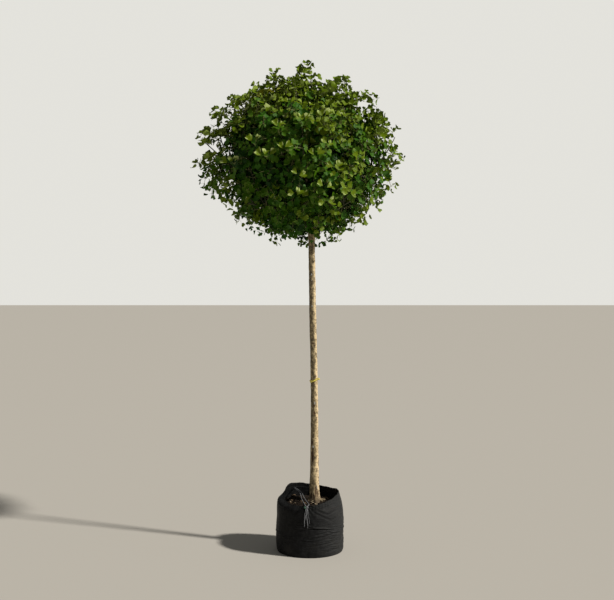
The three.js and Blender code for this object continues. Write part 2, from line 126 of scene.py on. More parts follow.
def chance(k, lane):  # 0 to 1, the fraction of a large sine of the seed and two counters
    value = np.sin(crown["seed"] * 12.9898 + np.asarray(k) * 78.233 + lane * 37.719) * 43758.5453
    return value - np.floor(value)


# Soft noise from -1 to 1: eight corner values of a cube lattice, blended by s = f*f*(3 - 2f).
def cloud(points, size, seed=0.0):
    place = points / size
    base = np.floor(place)
    blend = (place - base) ** 2 * (3 - 2 * (place - base))
    total = 0.0
    for corner in np.ndindex(2, 2, 2):
        corner = np.array(corner)
        weight = np.where(corner, blend, 1 - blend).prod(-1)
        value = np.sin((base + corner) @ np.array([12.71, 31.17, 7.47]) + seed * 17.3) * 43758.5453
        total = total + weight * (value - np.floor(value))
    return total * 2 - 1


# Soft noise in layers, each with its depth, upright stretch, size, seed and where it counts.
def cloudLayers(points, table, where):
    total = 0.0
    for depth, stretch, size, seed, place in table:
        total = total + depth * where[place] * cloud(points * np.array([1, 1, stretch]), size, seed)
    return total


def bezier(controls, shares):  # (1-t)^2 a + 2t(1-t) b + t^2 c, for many curves at once
    t = shares[..., None]
    a, b, c = (controls[..., None, i, :] for i in range(3))
    return (1 - t) ** 2 * a + 2 * t * (1 - t) * b + t * t * c


def bezierHeading(controls, shares):  # the direction of (1-t)(b-a) + t(c-b)
    t = shares[..., None]
    a, b, c = (controls[..., None, i, :] for i in range(3))
    return unit((1 - t) * (b - a) + t * (c - b))


# Catmull-Rom, read at fractional row numbers: each span leaves its rows along the line through
# their neighbours. A ring's last row is followed by its first.
def curveThrough(rows, at, ring=False):
    rows = np.asarray(rows, float)
    span = np.floor(at).astype(int)
    if ring:
        p0, p1, p2, p3 = (rows[(span + i - 1) % len(rows)] for i in range(4))
    else:
        span = np.minimum(span, len(rows) - 2)
        ends = np.vstack([2 * rows[0] - rows[1], rows, 2 * rows[-1] - rows[-2]])
        p0, p1, p2, p3 = (ends[span + i] for i in range(4))
    t = (at - span).reshape(np.shape(at) + (1,) * (p0.ndim - np.ndim(at)))
    curve = 2 * p1 + (p2 - p0) * t + (2 * p0 - 5 * p1 + 4 * p2 - p3) * t * t
    return 0.5 * (curve + (3 * p1 - p0 - 3 * p2 + p3) * t**3)


def ringTable(values, angles):  # values at even steps round, read at any angle
    return curveThrough(values, (angles / (2 * np.pi)) % 1 * len(values), ring=True)


def runAlong(path):  # how far along the path each of its points lies
    return np.r_[0, np.cumsum(np.linalg.norm(np.diff(path, axis=0), axis=1))]


def smoothPath(corners, count):  # a curve through the corners, in even steps of its length
    dense = curveThrough(corners, np.linspace(0, len(corners) - 1.000001, count * 8))
    run = runAlong(dense)
    even = np.linspace(0, run[-1], count)
    return np.stack([np.interp(even, run, dense[:, i]) for i in range(dense.shape[1])], -1)


# Directions along each path and two across it, carried from point to point without twisting.
def framesAlong(paths):
    ahead = unit(np.gradient(paths, axis=1))
    side = np.empty_like(ahead)
    away = np.where(np.abs(ahead[:, 0, 2:]) < 0.9, np.array([0.0, 0, 1]), np.array([1.0, 0, 0]))
    side[:, 0] = unit(np.cross(ahead[:, 0], away))
    for step in range(1, paths.shape[1]):
        last = side[:, step - 1]
        side[:, step] = unit(last - ahead[:, step] * dot(last, ahead[:, step]))
    return ahead, side, np.cross(ahead, side)


# Faces of rows of rings: four corners for each cell, and a fan from a pole at each end. The
# poles are the two points after the last ring's.
def skinFaces(rows, cols):
    c = np.arange(cols)
    n = (c + 1) % cols
    low = np.arange(rows - 1)[:, None] * cols
    quads = np.stack([low + c, low + n, low + cols + n, low + cols + c], -1).reshape(-1, 4)
    last = (rows - 1) * cols
    pole = np.full(cols, rows * cols)
    caps = np.vstack([np.stack([pole, n, c], -1), np.stack([last + c, last + n, pole + 1], -1)])
    return [quads, caps]


# Each corner's place on the skin: 0 to wide round it, and how far up its row lies.
def skinShares(cols, up, wide=1.0):
    c = np.arange(cols)
    across = np.stack([c, c + 1, c + 1, c], -1) / cols * wide
    up = np.stack([up[:-1], up[:-1], up[1:], up[1:]], -1)
    shares = np.stack(np.broadcast_arrays(across[None], up[:, None]), -1).reshape(-1, 2)
    return np.vstack([shares, np.zeros((6 * cols, 2))])


# Tubes: a ring of sides round every point of every path, closed by a pole at each end.
def tubeMesh(paths, radii, sides):
    count, steps, _ = paths.shape
    _, side, over = framesAlong(paths)
    turn = roundSteps(sides)[:, None]
    out = side[:, :, None] * np.cos(turn) + over[:, :, None] * np.sin(turn)
    radii = np.broadcast_to(radii, (count, steps)) if np.ndim(radii) < 3 else radii
    radii = radii[..., None] if radii.ndim == 2 else radii
    rings = paths[:, :, None] + out * radii[..., None]
    points = np.concatenate([rings.reshape(count, -1, 3), paths[:, [0, -1]]], 1)
    shift = (np.arange(count) * points.shape[1])[:, None, None]
    faces = [(group + shift).reshape(-1, group.shape[1]) for group in skinFaces(steps, sides)]
    return points.reshape(-1, 3), faces


# Spikes: a triangle at each foot and one point at each tip, for the thin stalks.
def spikeMesh(feet, tips, radius):
    ahead = unit(tips - feet)
    side = unit(np.cross(ahead, np.array([0.31, 0.27, 0.91])))
    over = np.cross(ahead, side)
    turn = roundSteps(3)[:, None]
    out = side[:, None] * np.cos(turn) + over[:, None] * np.sin(turn)
    points = np.concatenate([feet[:, None] + out * radius, tips[:, None]], 1)
    each = np.array([[2, 1, 0], [0, 1, 3], [1, 2, 3], [2, 0, 3]])
    faces = each + (np.arange(len(feet)) * 4)[:, None, None]
    return points.reshape(-1, 3), [faces.reshape(-1, 3)]


# Puts points and faces into a mesh that rides on the root body. The kinds are each face's
# finish by number, and the shares each corner's place in the map called surface.
def addPiece(name, points, faces, finishes, stands=(), kinds=None, shares=None, smooth=True):
    mesh = bpy.data.meshes.new(name)
    corners = np.concatenate([f.ravel() for f in faces]).astype(np.int32)
    sizes = np.concatenate([np.full(len(f), f.shape[1]) for f in faces])
    mesh.vertices.add(len(points))
    mesh.vertices.foreach_set("co", np.ascontiguousarray(points, np.float32).ravel())
    mesh.loops.add(len(corners))
    mesh.loops.foreach_set("vertex_index", corners)
    mesh.polygons.add(len(sizes))
    mesh.polygons.foreach_set("loop_start", np.r_[0, np.cumsum(sizes)[:-1]].astype(np.int32))
    if kinds is not None:
        mesh.polygons.foreach_set("material_index", np.asarray(kinds, np.int32))
    if shares is not None:
        layer = mesh.uv_layers.new(name="surface")
        layer.data.foreach_set("uv", np.ascontiguousarray(shares, np.float32).ravel())
    for finish in finishes:
        mesh.materials.append(finish)
    mesh.polygons.foreach_set("use_smooth", np.full(len(sizes), smooth))
    mesh.update(calc_edges=True)
    mesh.validate()
    piece = bpy.data.objects.new(name, mesh)
    bpy.context.scene.collection.objects.link(piece)
    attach(piece, "root")
    if stands:
        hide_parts(*stands)
    return piece


# Several meshes as one: their points in a row, each one's faces shifted past the last one's.
def joinMeshes(parts):
    start = np.cumsum([0] + [len(p) for p, _ in parts])
    points = np.concatenate([p for p, _ in parts])
    faces = [f + start[i] for i, (_, group) in enumerate(parts) for f in group]
    return points, faces


def startFinish(name, colour, roughness, shine):
    finish = bpy.data.materials.new(name)
    finish.use_nodes = True
    shader = finish.node_tree.nodes["Principled BSDF"]
    shader.inputs["Base Color"].default_value = (*colour, 1)
    shader.inputs["Roughness"].default_value = roughness
    shader.inputs["Specular IOR Level"].default_value = shine
    return finish, shader


# A node of a kind, its settings by name, and its inputs by name or number: a value or a link.
def addNode(finish, kind, inputs=(), **settings):
    node = finish.node_tree.nodes.new(kind)
    for key, value in settings.items():
        setattr(node, key, value)
    for key, value in dict(inputs).items():
        if isinstance(value, bpy.types.NodeSocket):
            finish.node_tree.links.new(value, node.inputs[key])
        else:
            node.inputs[key].default_value = value
    return node


def link(finish, source, target):
    finish.node_tree.links.new(source, target)


def objectPlace(finish, stretch=(1, 1, 1)):
    place = addNode(finish, "ShaderNodeTexCoord").outputs["Object"]
    return addNode(finish, "ShaderNodeMapping", {"Vector": place, "Scale": stretch}).outputs[0]


def noise(finish, place, scale, detail=3.0, rough=0.55):
    inputs = {"Vector": place, "Scale": scale, "Detail": detail, "Roughness": rough}
    return addNode(finish, "ShaderNodeTexNoise", inputs).outputs[0]


def ramp(finish, value, stops):  # colour or grey by value: a list of (place, colour)
    node = addNode(finish, "ShaderNodeValToRGB", {0: value})
    marks = node.color_ramp.elements
    for i, (place, colour) in enumerate(stops):
        mark = marks[i] if i < 2 else marks.new(place)
        mark.position = place
        mark.color = (*colour, 1) if np.ndim(colour) else (colour, colour, colour, 1)
    return node.outputs[0]


def blendColours(finish, share, low, high):
    node = addNode(finish, "ShaderNodeMix", data_type="RGBA")
    for socket, value in ((0, share), (6, low), (7, high)):
        if isinstance(value, bpy.types.NodeSocket):
            link(finish, value, node.inputs[socket])
        else:
            node.inputs[socket].default_value = value if socket == 0 else (*value, 1)
    return node.outputs[2]


def sums(finish, how, one, two):
    return addNode(finish, "ShaderNodeMath", {0: one, 1: two}, operation=how).outputs[0]


def bump(finish, shader, height, distance, strength):
    inputs = {"Height": height, "Distance": distance, "Strength": strength}
    link(finish, addNode(finish, "ShaderNodeBump", inputs).outputs[0], shader.inputs["Normal"])


# A grained finish: noise blends one colour into the other between two of its levels, and the
# relief, where it has a noise of its own, is finer than that.
def grainFinish(name, one, two, gloss, grain, levels, depth, relief=()):
    finish, shader = startFinish(name, one, *gloss)
    place = objectPlace(finish)
    pattern = noise(finish, place, *grain)
    share = ramp(finish, pattern, [(levels[0], 0.0), (levels[1], 1.0)])
    link(finish, blendColours(finish, share, one, two), shader.inputs["Base Color"])
    bump(finish, shader, noise(finish, place, *relief) if relief else pattern, *depth)
    return finish


trunk = {
    "centre": [(0.250, 0.0258), (0.286, 0.026), (0.690, 0.027), (1.010, 0.025), (1.440, 0.016),
               (1.836, 0.010), (2.000, 0.008)],
    "radii": [(0.250, 0.046), (0.286, 0.042), (0.300, 0.036), (0.322, 0.032), (0.360, 0.0295),
              (0.440, 0.0265), (0.600, 0.024), (0.810, 0.022), (1.080, 0.0205), (1.440, 0.0205),
              (1.700, 0.0195), (1.860, 0.020), (1.915, 0.025), (1.945, 0.033), (1.970, 0.032),
              (1.990, 0.022), (1.997, 0.010)],
    "rounding": 0.008,  # how far above and below the table is averaged
    "foot": 0.262,
    "top": 1.997,
    "rows": 560,
    "cols": 64,
    "lobes": 5,
    "lobeShare": 0.30,
    "lobeFoot": 0.286,
    "lobeHeight": 0.050,
    "lobeTurn": 0.6,
    "girth": 0.024,  # the radius on which the relief is laid out
    "roughFoot": (0.50, 0.20),  # below a height, growing over so much
    "knobs": (1.84, 0.08),  # above a height, growing over so much
    # depth, upright stretch, size, seed and place: all over, low down, at the foot or the graft
    "relief": [(0.0011, 1, 0.055, 1, "all"), (0.0006, 1, 0.022, 2, "all"), (0.00035, 7, 0.022, 3, "all"),
               (0.0016, 0.25, 0.009, 4, "low"), (0.0030, 0.5, 0.020, 8, "foot"),
               (0.003, 1, 0.018, 5, "graft"), (0.0012, 1, 0.007, 6, "graft")],
    "ragged": (0.35, 0.006),  # how much the marks' outlines vary, and over what size
    "rim": (0.7, 1.3, 0.5),  # round a mark: share of its depth, how far out, how broad
    "topRound": 0.004,  # how far below the top it rounds over
    # marks: height, degrees round from +X, half height, half width, depth, dark or (below 0) pale
    "marks": [
        (0.562, -117, 0.040, 0.0056, -0.0018, 1.0), (0.617, -112, 0.007, 0.0060, 0.0010, -0.7),
        (0.640, -128, 0.012, 0.0060, -0.0008, 0.7), (0.352, -74, 0.034, 0.0046, -0.0028, 1.0),
        (0.338, -50, 0.026, 0.0040, -0.0024, 1.0), (0.376, -60, 0.016, 0.0040, 0.0014, -0.5),
        (0.318, -96, 0.016, 0.0050, -0.0022, 0.9), (0.326, -128, 0.022, 0.0048, -0.0020, 0.6),
        (0.878, -86, 0.010, 0.0045, 0.0008, -0.7), (0.862, -96, 0.006, 0.0070, -0.0008, 0.7),
        (0.816, -92, 0.013, 0.0085, -0.0010, 0.5), (1.236, -98, 0.006, 0.0110, -0.0008, 0.6),
        (1.222, -70, 0.005, 0.0080, -0.0006, 0.5), (1.646, -102, 0.006, 0.0046, 0.0006, -1.0),
        (1.612, -100, 0.004, 0.0030, 0.0004, -0.6), (1.458, -100, 0.005, 0.0036, 0.0004, -0.9),
        (0.735, -150, 0.012, 0.0080, 0.0012, 0.4), (1.330, -40, 0.012, 0.0090, -0.0010, 0.3),
        (1.560, -125, 0.016, 0.0090, 0.0012, 0.3), (1.700, 70, 0.014, 0.0090, 0.0012, 0.4),
        (0.930, 120, 0.015, 0.0100, 0.0012, 0.4), (1.120, 30, 0.013, 0.0090, -0.0010, 0.4),
        (0.640, 60, 0.030, 0.0040, -0.0014, 0.9), (1.420, 160, 0.010, 0.0060, 0.0008, -0.6),
    ],
}


def trunkCentre(height):  # x of its middle, by a smooth curve through the table
    path = smoothPath(trunk["centre"], 160)
    return np.interp(height, path[:, 0], path[:, 1])


def trunkRadius(height):  # the table's straight runs, with their corners rounded by a mean
    levels, radii = np.array(trunk["radii"]).T
    spread = np.linspace(-trunk["rounding"], trunk["rounding"], 9)
    return np.mean([np.interp(height + s, levels, radii) for s in spread], axis=0)


# radius(angle, height) = table * (1 + lobes fading upwards) + layers of soft noise + marks. Each
# mark is depth * e^(-d^4), with a rim of the other sign round it.
def makeTrunk():
    rows, cols = trunk["rows"], trunk["cols"]
    height = mix(trunk["foot"], trunk["top"], np.linspace(0, 1, rows))[:, None]
    angle = roundSteps(cols)[None]
    radius = trunkRadius(height)
    fade = np.clip(1 - (height - trunk["lobeFoot"]) / trunk["lobeHeight"], 0, 1.2) ** 2
    lobe = np.maximum(0, np.cos(trunk["lobes"] * angle + trunk["lobeTurn"]))
    around = np.stack(np.broadcast_arrays(np.cos(angle), np.sin(angle), height), -1)
    skin = around * np.array([trunk["girth"], trunk["girth"], 1.0])
    low = np.clip((trunk["roughFoot"][0] - height) / trunk["roughFoot"][1], 0, 1)
    graftShare = np.clip((height - trunk["knobs"][0]) / trunk["knobs"][1], 0, 1)
    where = {"all": 1.0, "low": low, "foot": low**2, "graft": graftShare}
    wide = radius * (1 + trunk["lobeShare"] * fade * lobe) + cloudLayers(skin, trunk["relief"], where)
    scar = 0 * wide
    ragged = 1 + trunk["ragged"][0] * cloud(skin, trunk["ragged"][1], 7)
    rimShare, rimPlace, rimBreadth = trunk["rim"]
    for level, degrees, tall, broad, depth, dark in trunk["marks"]:
        turn = turnApart(angle, np.radians(degrees))
        apart = (((height - level) / tall) ** 2 + (turn * radius / broad) ** 2) * ragged
        rim = np.exp(-(((apart - rimPlace) / rimBreadth) ** 2))
        wide = wide + depth * (np.exp(-(apart**2)) - rimShare * rim)
        scar = scar + dark * np.exp(-(apart**2))
    wide = wide * np.clip((trunk["top"] - height) / trunk["topRound"], 0.02, 1) ** 0.5
    x = trunkCentre(height) + wide * np.cos(angle)
    rings = np.stack([x, wide * np.sin(angle), np.broadcast_to(height, x.shape)], -1)
    poles = [[trunkCentre(trunk[end]), 0, trunk[end]] for end in ("foot", "top")]
    shares = skinShares(cols, np.linspace(0, trunk["top"] - trunk["foot"], rows))
    piece = addPiece("trunk_bark", np.vstack([rings.reshape(-1, 3), poles]), skinFaces(rows, cols),
                     [trunkBark()], ["trunk"], shares=shares)
    marks = piece.data.attributes.new("scar", "FLOAT", "POINT")
    marks.data.foreach_set("value", np.r_[scar.ravel(), 0, 0].astype(np.float32))
    print("trunk made")


barkLook = {
    "cream": (0.66, 0.53, 0.31),
    # the next two are painted sunlight and painted shade, laid on the trunk's two sides
    "paintedSunlitCream": (0.86, 0.67, 0.43),
    "tan": (0.38, 0.29, 0.155),
    "paintedShadeOlive": (0.176, 0.138, 0.077),
    "mottle": (0.078, 0.058, 0.033),
    "dark": (0.048, 0.035, 0.022),
    "scar": (0.060, 0.026, 0.012),
    "lichen": (0.40, 0.40, 0.38),
    "splashed": (0.050, 0.032, 0.020),
    # noise: scale, detail, roughness
    "patches": (34, 5, 0.65),
    "mottles": (66, 4, 0.72),
    "bands": (62, 3, 0.6),
    "flecks": (90, 13),  # their own scale, and that of the groups they stand in
    "shadedMiddle": 0.55,  # round the trunk from +X: 0.5 is -X and 0.75 the front
    "uneven": 0.16,
    "furtherAbove": [(0.42, 0.0), (0.62, 0.055)],  # by half the height
    "splashHeights": [(0.350, 0.92), (0.395, 0.0)],  # of the soil splashed on the foot
}


# Cream and tan bark with painted sunlight (pale cream) on the side towards the sun and painted
# shade (olive) on the other, with mottles, dark cross dashes and pores, scars and lichen where the
# trunk's marks are, and splashes at the foot.
def trunkBark():
    finish, shader = startFinish("young trunk bark", barkLook["tan"], 0.8, 0.3)
    around = addNode(finish, "ShaderNodeUVMap", uv_map="surface").outputs[0]
    turn = addNode(finish, "ShaderNodeSeparateXYZ", {0: around}).outputs[0]
    place = objectPlace(finish)
    height = addNode(finish, "ShaderNodeSeparateXYZ", {0: place}).outputs[2]
    patches = noise(finish, objectPlace(finish, (1, 1, 0.35)), *barkLook["patches"])
    mottles = noise(finish, objectPlace(finish, (1, 1, 0.6)), *barkLook["mottles"])
    bands = noise(finish, objectPlace(finish, (1, 1, 4.0)), *barkLook["bands"])
    # how far round from the middle of the side with painted shade, which goes a little further round above
    apart = sums(finish, "ABSOLUTE", sums(finish, "SUBTRACT", turn, barkLook["shadedMiddle"]), 0.0)
    edge = sums(finish, "ADD", apart, sums(finish, "MULTIPLY", patches, barkLook["uneven"]))
    further = ramp(finish, sums(finish, "MULTIPLY", height, 0.5), barkLook["furtherAbove"])
    edge = sums(finish, "SUBTRACT", edge, further)
    fleckScale, groupScale = barkLook["flecks"]
    flecks = addNode(finish, "ShaderNodeTexVoronoi", {"Vector": place, "Scale": fleckScale}).outputs[0]
    groups = ramp(finish, noise(finish, place, groupScale, 2), [(0.50, 0.0), (0.60, 1.0)])
    flecks = sums(finish, "MULTIPLY", ramp(finish, flecks, [(0.12, 0.85), (0.24, 0.0)]), groups)
    marks = addNode(finish, "ShaderNodeAttribute", attribute_name="scar").outputs["Fac"]
    lichen = sums(finish, "MULTIPLY", marks, -1.0)
    level = sums(finish, "ADD", height, sums(finish, "MULTIPLY", mottles, 0.11))
    coats = [("cream", ramp(finish, patches, [(0.40, 0.0), (0.58, 1.0)])),
             # painted sunlight on the side towards the sun, then painted shade on the other
             ("paintedSunlitCream", ramp(finish, edge, [(0.33, 0.0), (0.39, 0.7)])),
             ("paintedShadeOlive", ramp(finish, edge, [(0.26, 0.85), (0.32, 0.0)])),
             ("mottle", ramp(finish, mottles, [(0.51, 0.0), (0.58, 0.75)])),
             ("cream", ramp(finish, mottles, [(0.38, 0.65), (0.46, 0.0)])),
             ("dark", ramp(finish, bands, [(0.55, 0.0), (0.62, 0.7)])),
             ("dark", flecks),
             ("scar", ramp(finish, marks, [(0.10, 0.0), (0.55, 0.92)])),
             ("lichen", ramp(finish, lichen, [(0.15, 0.0), (0.6, 0.9)])),
             ("splashed", ramp(finish, level, barkLook["splashHeights"]))]
    colour = barkLook["tan"]
    for name, share in coats:
        colour = blendColours(finish, share, colour, barkLook[name])
    link(finish, colour, shader.inputs["Base Color"])
    relief = sums(finish, "ADD", sums(finish, "MULTIPLY", bands, 0.6), noise(finish, place, 240, 4))
    bump(finish, shader, relief, 0.0016, 0.6)
    return finish


crown = {
    "seed": 11,
    "graft": (0.008, 0.0, 1.952),
    "centre": (-0.050, 0.0, 2.392),
    "halfWidth": 0.622,
    "halfDepth": 0.610,
    "rise": 0.528,
    "drop": 0.545,
    "powerAbove": 1.8,
    "powerBelow": 2.1,
    # name, count, elevation and turn in degrees, start of the boughs out and up, arch
    "rings": [("low", 4, -32, 40, 0.018, -0.026, 0.03), ("mid", 5, 2, 54, 0.024, 0.0, 0.1),
              ("high", 4, 42, 46, 0.019, 0.018, 0.12), ("top", 1, 90, 0, 0.0, 0.020, 0.0)],
    # as shares of the way out to the outline: the masses' middles, the boughs' and the stems' ends
    "cellShare": 0.62,
    "footShare": 0.5,
    "stemShare": 0.8,
    "boughRadii": (0.009, 0.0065),
    "stemTip": 0.0045,
    "twigRadii": (0.0038, 0.0024),
    "twigBend": 0.14,  # as a share of its length
    "slopes": (0.8, 0.45, 1.2, 0.15, 1.8),  # how far behind its tip a twig starts, for each step aside
    "tipInset": 0.050,  # its tip ends so far inside its reach
    "clearance": 0.008,  # of a twig from other limbs
    "twigs": 92,
    "reach": (0.93, 1.03),
    # twigs to the shoots that stand out: degrees from +X up, reach
    "shoots": [(8, 1.0), (27, 0.96), (48, 0.97), (66, 0.95), (90, 0.95), (111, 0.96), (144, 1.0),
               (161, 0.98), (175, 1.03), (190, 1.02), (222, 0.95), (310, 0.94)],
}
goldenAngle = np.pi * (3 - np.sqrt(5))
graft = np.array(crown["graft"])
crownCentre = np.array(crown["centre"])


def directionOf(azimuth, elevation):  # both in degrees
    a = np.radians(azimuth)
    e = np.radians(elevation)
    return np.stack(np.broadcast_arrays(np.cos(e) * np.cos(a), np.cos(e) * np.sin(a), np.sin(e)), -1)


# Even ways all round: equal steps of height, each turned on by the golden angle.
def goldenWays(count, turned=0):
    k = np.arange(count)
    up = 1 - 2 * (k + 0.5) / count
    return directionOf(np.degrees(k * goldenAngle) + turned, np.degrees(np.arcsin(up)))


# How far the outline lies from the crown's middle: (across^p + up^p)^(-1/p).
def outlineRadius(way):
    across = np.hypot(way[..., 0] / crown["halfWidth"], way[..., 1] / crown["halfDepth"])
    above = way[..., 2] > 0
    up = np.abs(way[..., 2]) / np.where(above, crown["rise"], crown["drop"])
    power = np.where(above, crown["powerAbove"], crown["powerBelow"])
    return (across**power + up**power) ** (-1 / power)


def crownPoint(way, share):  # at a share of the outline's reach
    return crownCentre + way * (np.asarray(share) * outlineRadius(way))[..., None]


# Boughs stand in rings round the graft. Each runs towards its mass in one bend, arched by a share
# of its length, and its stem goes on through the mass.
def planMasses():
    names = []
    boughs = []
    stems = []
    centres = []
    for name, count, elevation, turn, spread, lift, arch in crown["rings"]:
        for i in range(count):
            azimuth = turn + i * 360 / count
            way = directionOf(azimuth, elevation)
            edge = crownPoint(way, 1)
            start = graft + directionOf(azimuth, 0) * spread + np.array([0, 0, lift])
            foot = mix(graft, edge, crown["footShare"])
            end = mix(graft, edge, crown["stemShare"])
            bend = mix(start, foot, 0.5)
            bend[2] += arch * np.linalg.norm(foot - start)
            heading = unit(foot - bend)
            boughs.append([start, bend, foot])
            stems.append([foot, foot + heading * 0.5 * np.linalg.norm(end - foot), end])
            centres.append(crownPoint(way, crown["cellShare"]))
            names.append(f"{name}_{i + 1}" if count > 1 else name)
    return names, np.array(boughs), np.array(stems), np.array(centres)


massNames, boughCurves, stemCurves, massCentres = planMasses()
limbs = len(massNames)


def massOf(points):  # each point belongs to the mass whose middle is nearest
    return np.linalg.norm(points[..., None, :] - massCentres, axis=-1).argmin(-1)


def standingWays(angles, forward=0.0):  # round the outline that faces the viewer, from +X up
    a = np.radians(angles)
    f = np.radians(forward)
    return np.stack([np.cos(a) * np.cos(f), 0 * a - np.sin(f), np.sin(a) * np.cos(f)], -1)


# The ends of the source's twigs, by the golden angle, and its standing shoots.
def planTips():
    k = np.arange(crown["twigs"])
    ways = goldenWays(crown["twigs"])
    reach = mix(*crown["reach"], chance(k, 1)) * fullShare(ways)
    angles, far = np.array(crown["shoots"], float).T
    return np.vstack([ways, standingWays(angles)]), np.r_[reach, far]


def limbBalls():  # every bough and stem as a row of balls, each with its radius and its owner
    steps = 24
    shares = np.linspace(0, 1, steps)
    balls = np.vstack([bezier(c, shares).reshape(-1, 3) for c in (boughCurves, stemCurves)])
    radii = [np.tile(mix(*crown["boughRadii"], shares), limbs),
             np.tile(mix(crown["boughRadii"][1], crown["stemTip"], shares), limbs)]
    owner = np.r_[np.full(limbs * steps, -1), np.repeat(np.arange(limbs), steps)]
    return balls, np.concatenate(radii), owner


# A twig leaves its stem behind its tip and bends over towards it. The first slope counts that
# keeps the twig in its own mass's space and clear of other limbs.
def planTwigs():
    ways, reach = planTips()
    tips = crownPoint(ways, reach - crown["tipInset"] / outlineRadius(ways))
    mass = massOf(tips)
    stems = stemCurves[mass]
    run = stems[:, 2] - stems[:, 0]
    length = np.linalg.norm(run, axis=-1, keepdims=True)
    ahead = dot(tips - stems[:, 0], run / length)
    aside = np.linalg.norm(tips - stems[:, 0] - ahead * run / length, axis=-1, keepdims=True)
    balls, radii, owner = limbBalls()
    found = np.zeros(len(tips), bool)
    curves = np.zeros((len(tips), 3, 3))
    for slope in crown["slopes"]:
        share = np.clip((ahead - slope * aside) / length, 0.1, 0.97)
        root = bezier(stems, share)[:, 0]
        heading = bezierHeading(stems, share)[:, 0]
        bend = mix(root, tips, 0.5)
        bend = bend + heading * crown["twigBend"] * np.linalg.norm(tips - root, axis=-1, keepdims=True)
        curve = np.stack([root, bend, tips], 1)
        points = bezier(curve, np.linspace(0, 1, 20))
        clear = (massOf(points) == mass[:, None]).all(1)
        room = np.linalg.norm(points[:, :, None] - balls, axis=-1) - radii
        room = np.where(owner == mass[:, None, None], 1.0, room)
        clear &= (room > crown["clearance"]).all((1, 2))
        fresh = clear & ~found
        curves[fresh] = curve[fresh]
        found |= clear
    return curves[found], mass[found]


sprays = {
    # shells of shoots: count, least and greatest reach as shares of the full crown, lane of chance
    "shells": [(430, 0.89, 1.00, 20), (330, 0.74, 0.89, 22), (130, 0.54, 0.72, 23),
               (150, 1.02, 1.13, 21)],
    "full": (0.852, 0.70),  # the full crown as a share of the outline, below and at the top
    "fullBend": (0.15, 0.6),  # it grows less from so far below level, by this power of the height
    "fullerFoot": 0.14,  # round the graft
    "hollows": 0.078,  # how far it waves in and out
    "hollowSize": 0.15,
    "scatter": 0.07,  # of the shells' shoots
    "furthest": (1.06, 0.07),  # their greatest reach, and how much less it is in front and behind
    # a skirt of shoots round the graft: count, least and greatest elevation, reach
    "skirt": (22, -80, -58, 0.84, 0.95),
    # shoots that stand out where the photo shows them: degrees from +X up, reach
    "standing": [(86, 1.00), (109, 0.98), (126, 0.92), (144, 0.96), (157, 1.01), (174, 1.02),
                 (189, 1.045), (199, 1.05), (206, 1.03), (228, 1.01), (235, 1.00), (256, 0.93),
                 (263, 0.97), (297, 0.95), (313, 1.00), (329, 0.95), (338, 0.99), (354, 1.01),
                 (11, 0.96), (22, 0.93), (35, 0.975), (58, 0.965)],
    # and shoots beside each one: degrees round, degrees towards the viewer, shorter by
    "beside": [(0, 0, 0.0), (4, 7, 0.075), (-4, -7, 0.06), (1, 15, 0.09)],
    "wands": (95, 20),  # the thin ones at the top: middle and half width in degrees
    "besideWand": 2,  # of them stand beside such a one
    # flushes that stand out in front: across and up, in metres
    "flushes": [(-0.172, 2.395), (-0.046, 2.425), (0.072, 2.440), (0.166, 2.450), (-0.300, 2.330),
                (0.080, 2.300), (0.100, 2.215), (-0.045, 2.180), (0.028, 2.255), (0.090, 2.130),
                (-0.067, 2.095), (0.066, 2.050), (-0.250, 2.470), (-0.235, 2.265), (-0.375, 2.060),
                (-0.420, 2.245), (0.200, 2.100), (-0.105, 2.520), (-0.120, 2.290)],
    "flushShare": 0.935,
    # airy sprays above: count, least and greatest elevation, least and greatest reach
    "topSprays": (30, 34, 80, 0.90, 1.00),
    "topNarrower": 0.15,  # how much less they reach to the left and right
    "topShorter": 0.12,  # and straight up
    "shootRadii": (0.0022, 0.0013),
    "perchCosts": (2, 3, 9),  # of a perch beside its shoot, too near its tip, in another mass
    "leastRun": 0.07,
    "inset": 0.030,
    "lift": 0.12,  # how much a shoot arches up, as a share of its length
    "bend": 0.2,
    "spurGap": 0.030,
    "firstSpur": 0.004,
    "bareFoot": 0.12,  # as a share of the shoot
    "spurs": 6,
    "looseTurn": 6.28,
    "leaves": (3, 5),
    "airyReach": 1.015,  # past which a shoot stands out of the crown
    "airy": 0.75,  # fewer leaves on such a one
    "flushAbove": 0.50,  # a tip bears a flush past this chance, this reach and this slope of its light
    "flushReach": 0.90,
    "flushRise": 0.30,
    "flushStalk": 0.018,  # so much longer
    "stalk": (0.016, 0.034),
    "stalkRadius": 0.0011,
    "spread": (30, 62),  # degrees between a leaf's stalk and its spur
    "stalkRise": 0.6,
    "sunward": 0.20,
    "light": (0.95, 0.38),  # a leaf faces outwards and upwards, and a little towards the sun
    "deepest": -0.35,  # how far down its outwards goes
    "spurWay": (0.5, 0.9, 0.35),  # a spur runs with its shoot, away from it, to the light
    "firstSpurLight": 0.3,
    "hanging": (1.7, -0.5),  # stalks rise less below the crown's middle: how fast, how far
    "flushLeaves": 2.3,  # and up to one more by chance
    "looseness": (1.15, 2.2),  # of the leaves' faces in the crown, and on an airy shoot
    "along": (0.6, 0.7, 0.55, 0.5),  # a leaf runs with its stalk, outwards, upwards, by chance
    # a flush leaf's stalk: with its spur, upwards, aside
    "heldStalk": (0.6, 0.7, 0.35),
    "heldFace": (0.5, 0.45),  # by chance, turned inwards
    "heldAlong": (1.2, 0.4),  # aside, by chance
}


# Where the crown is full, as a share of its outline: less at the top, and waving in and out.
def fullShare(ways):
    below, power = sprays["fullBend"]
    share = mix(*sprays["full"], np.clip(ways[..., 2] + below, 0, 1) ** power)
    share = share + sprays["fullerFoot"] * np.clip(-ways[..., 2], 0, 1) ** 8
    return share + sprays["hollows"] * hollowsAt(ways)


def hollowsAt(ways):  # from -1 in a hollow to 1 on a clump
    return cloud(crownPoint(ways, np.ones(ways.shape[:-1])), sprays["hollowSize"], 9)


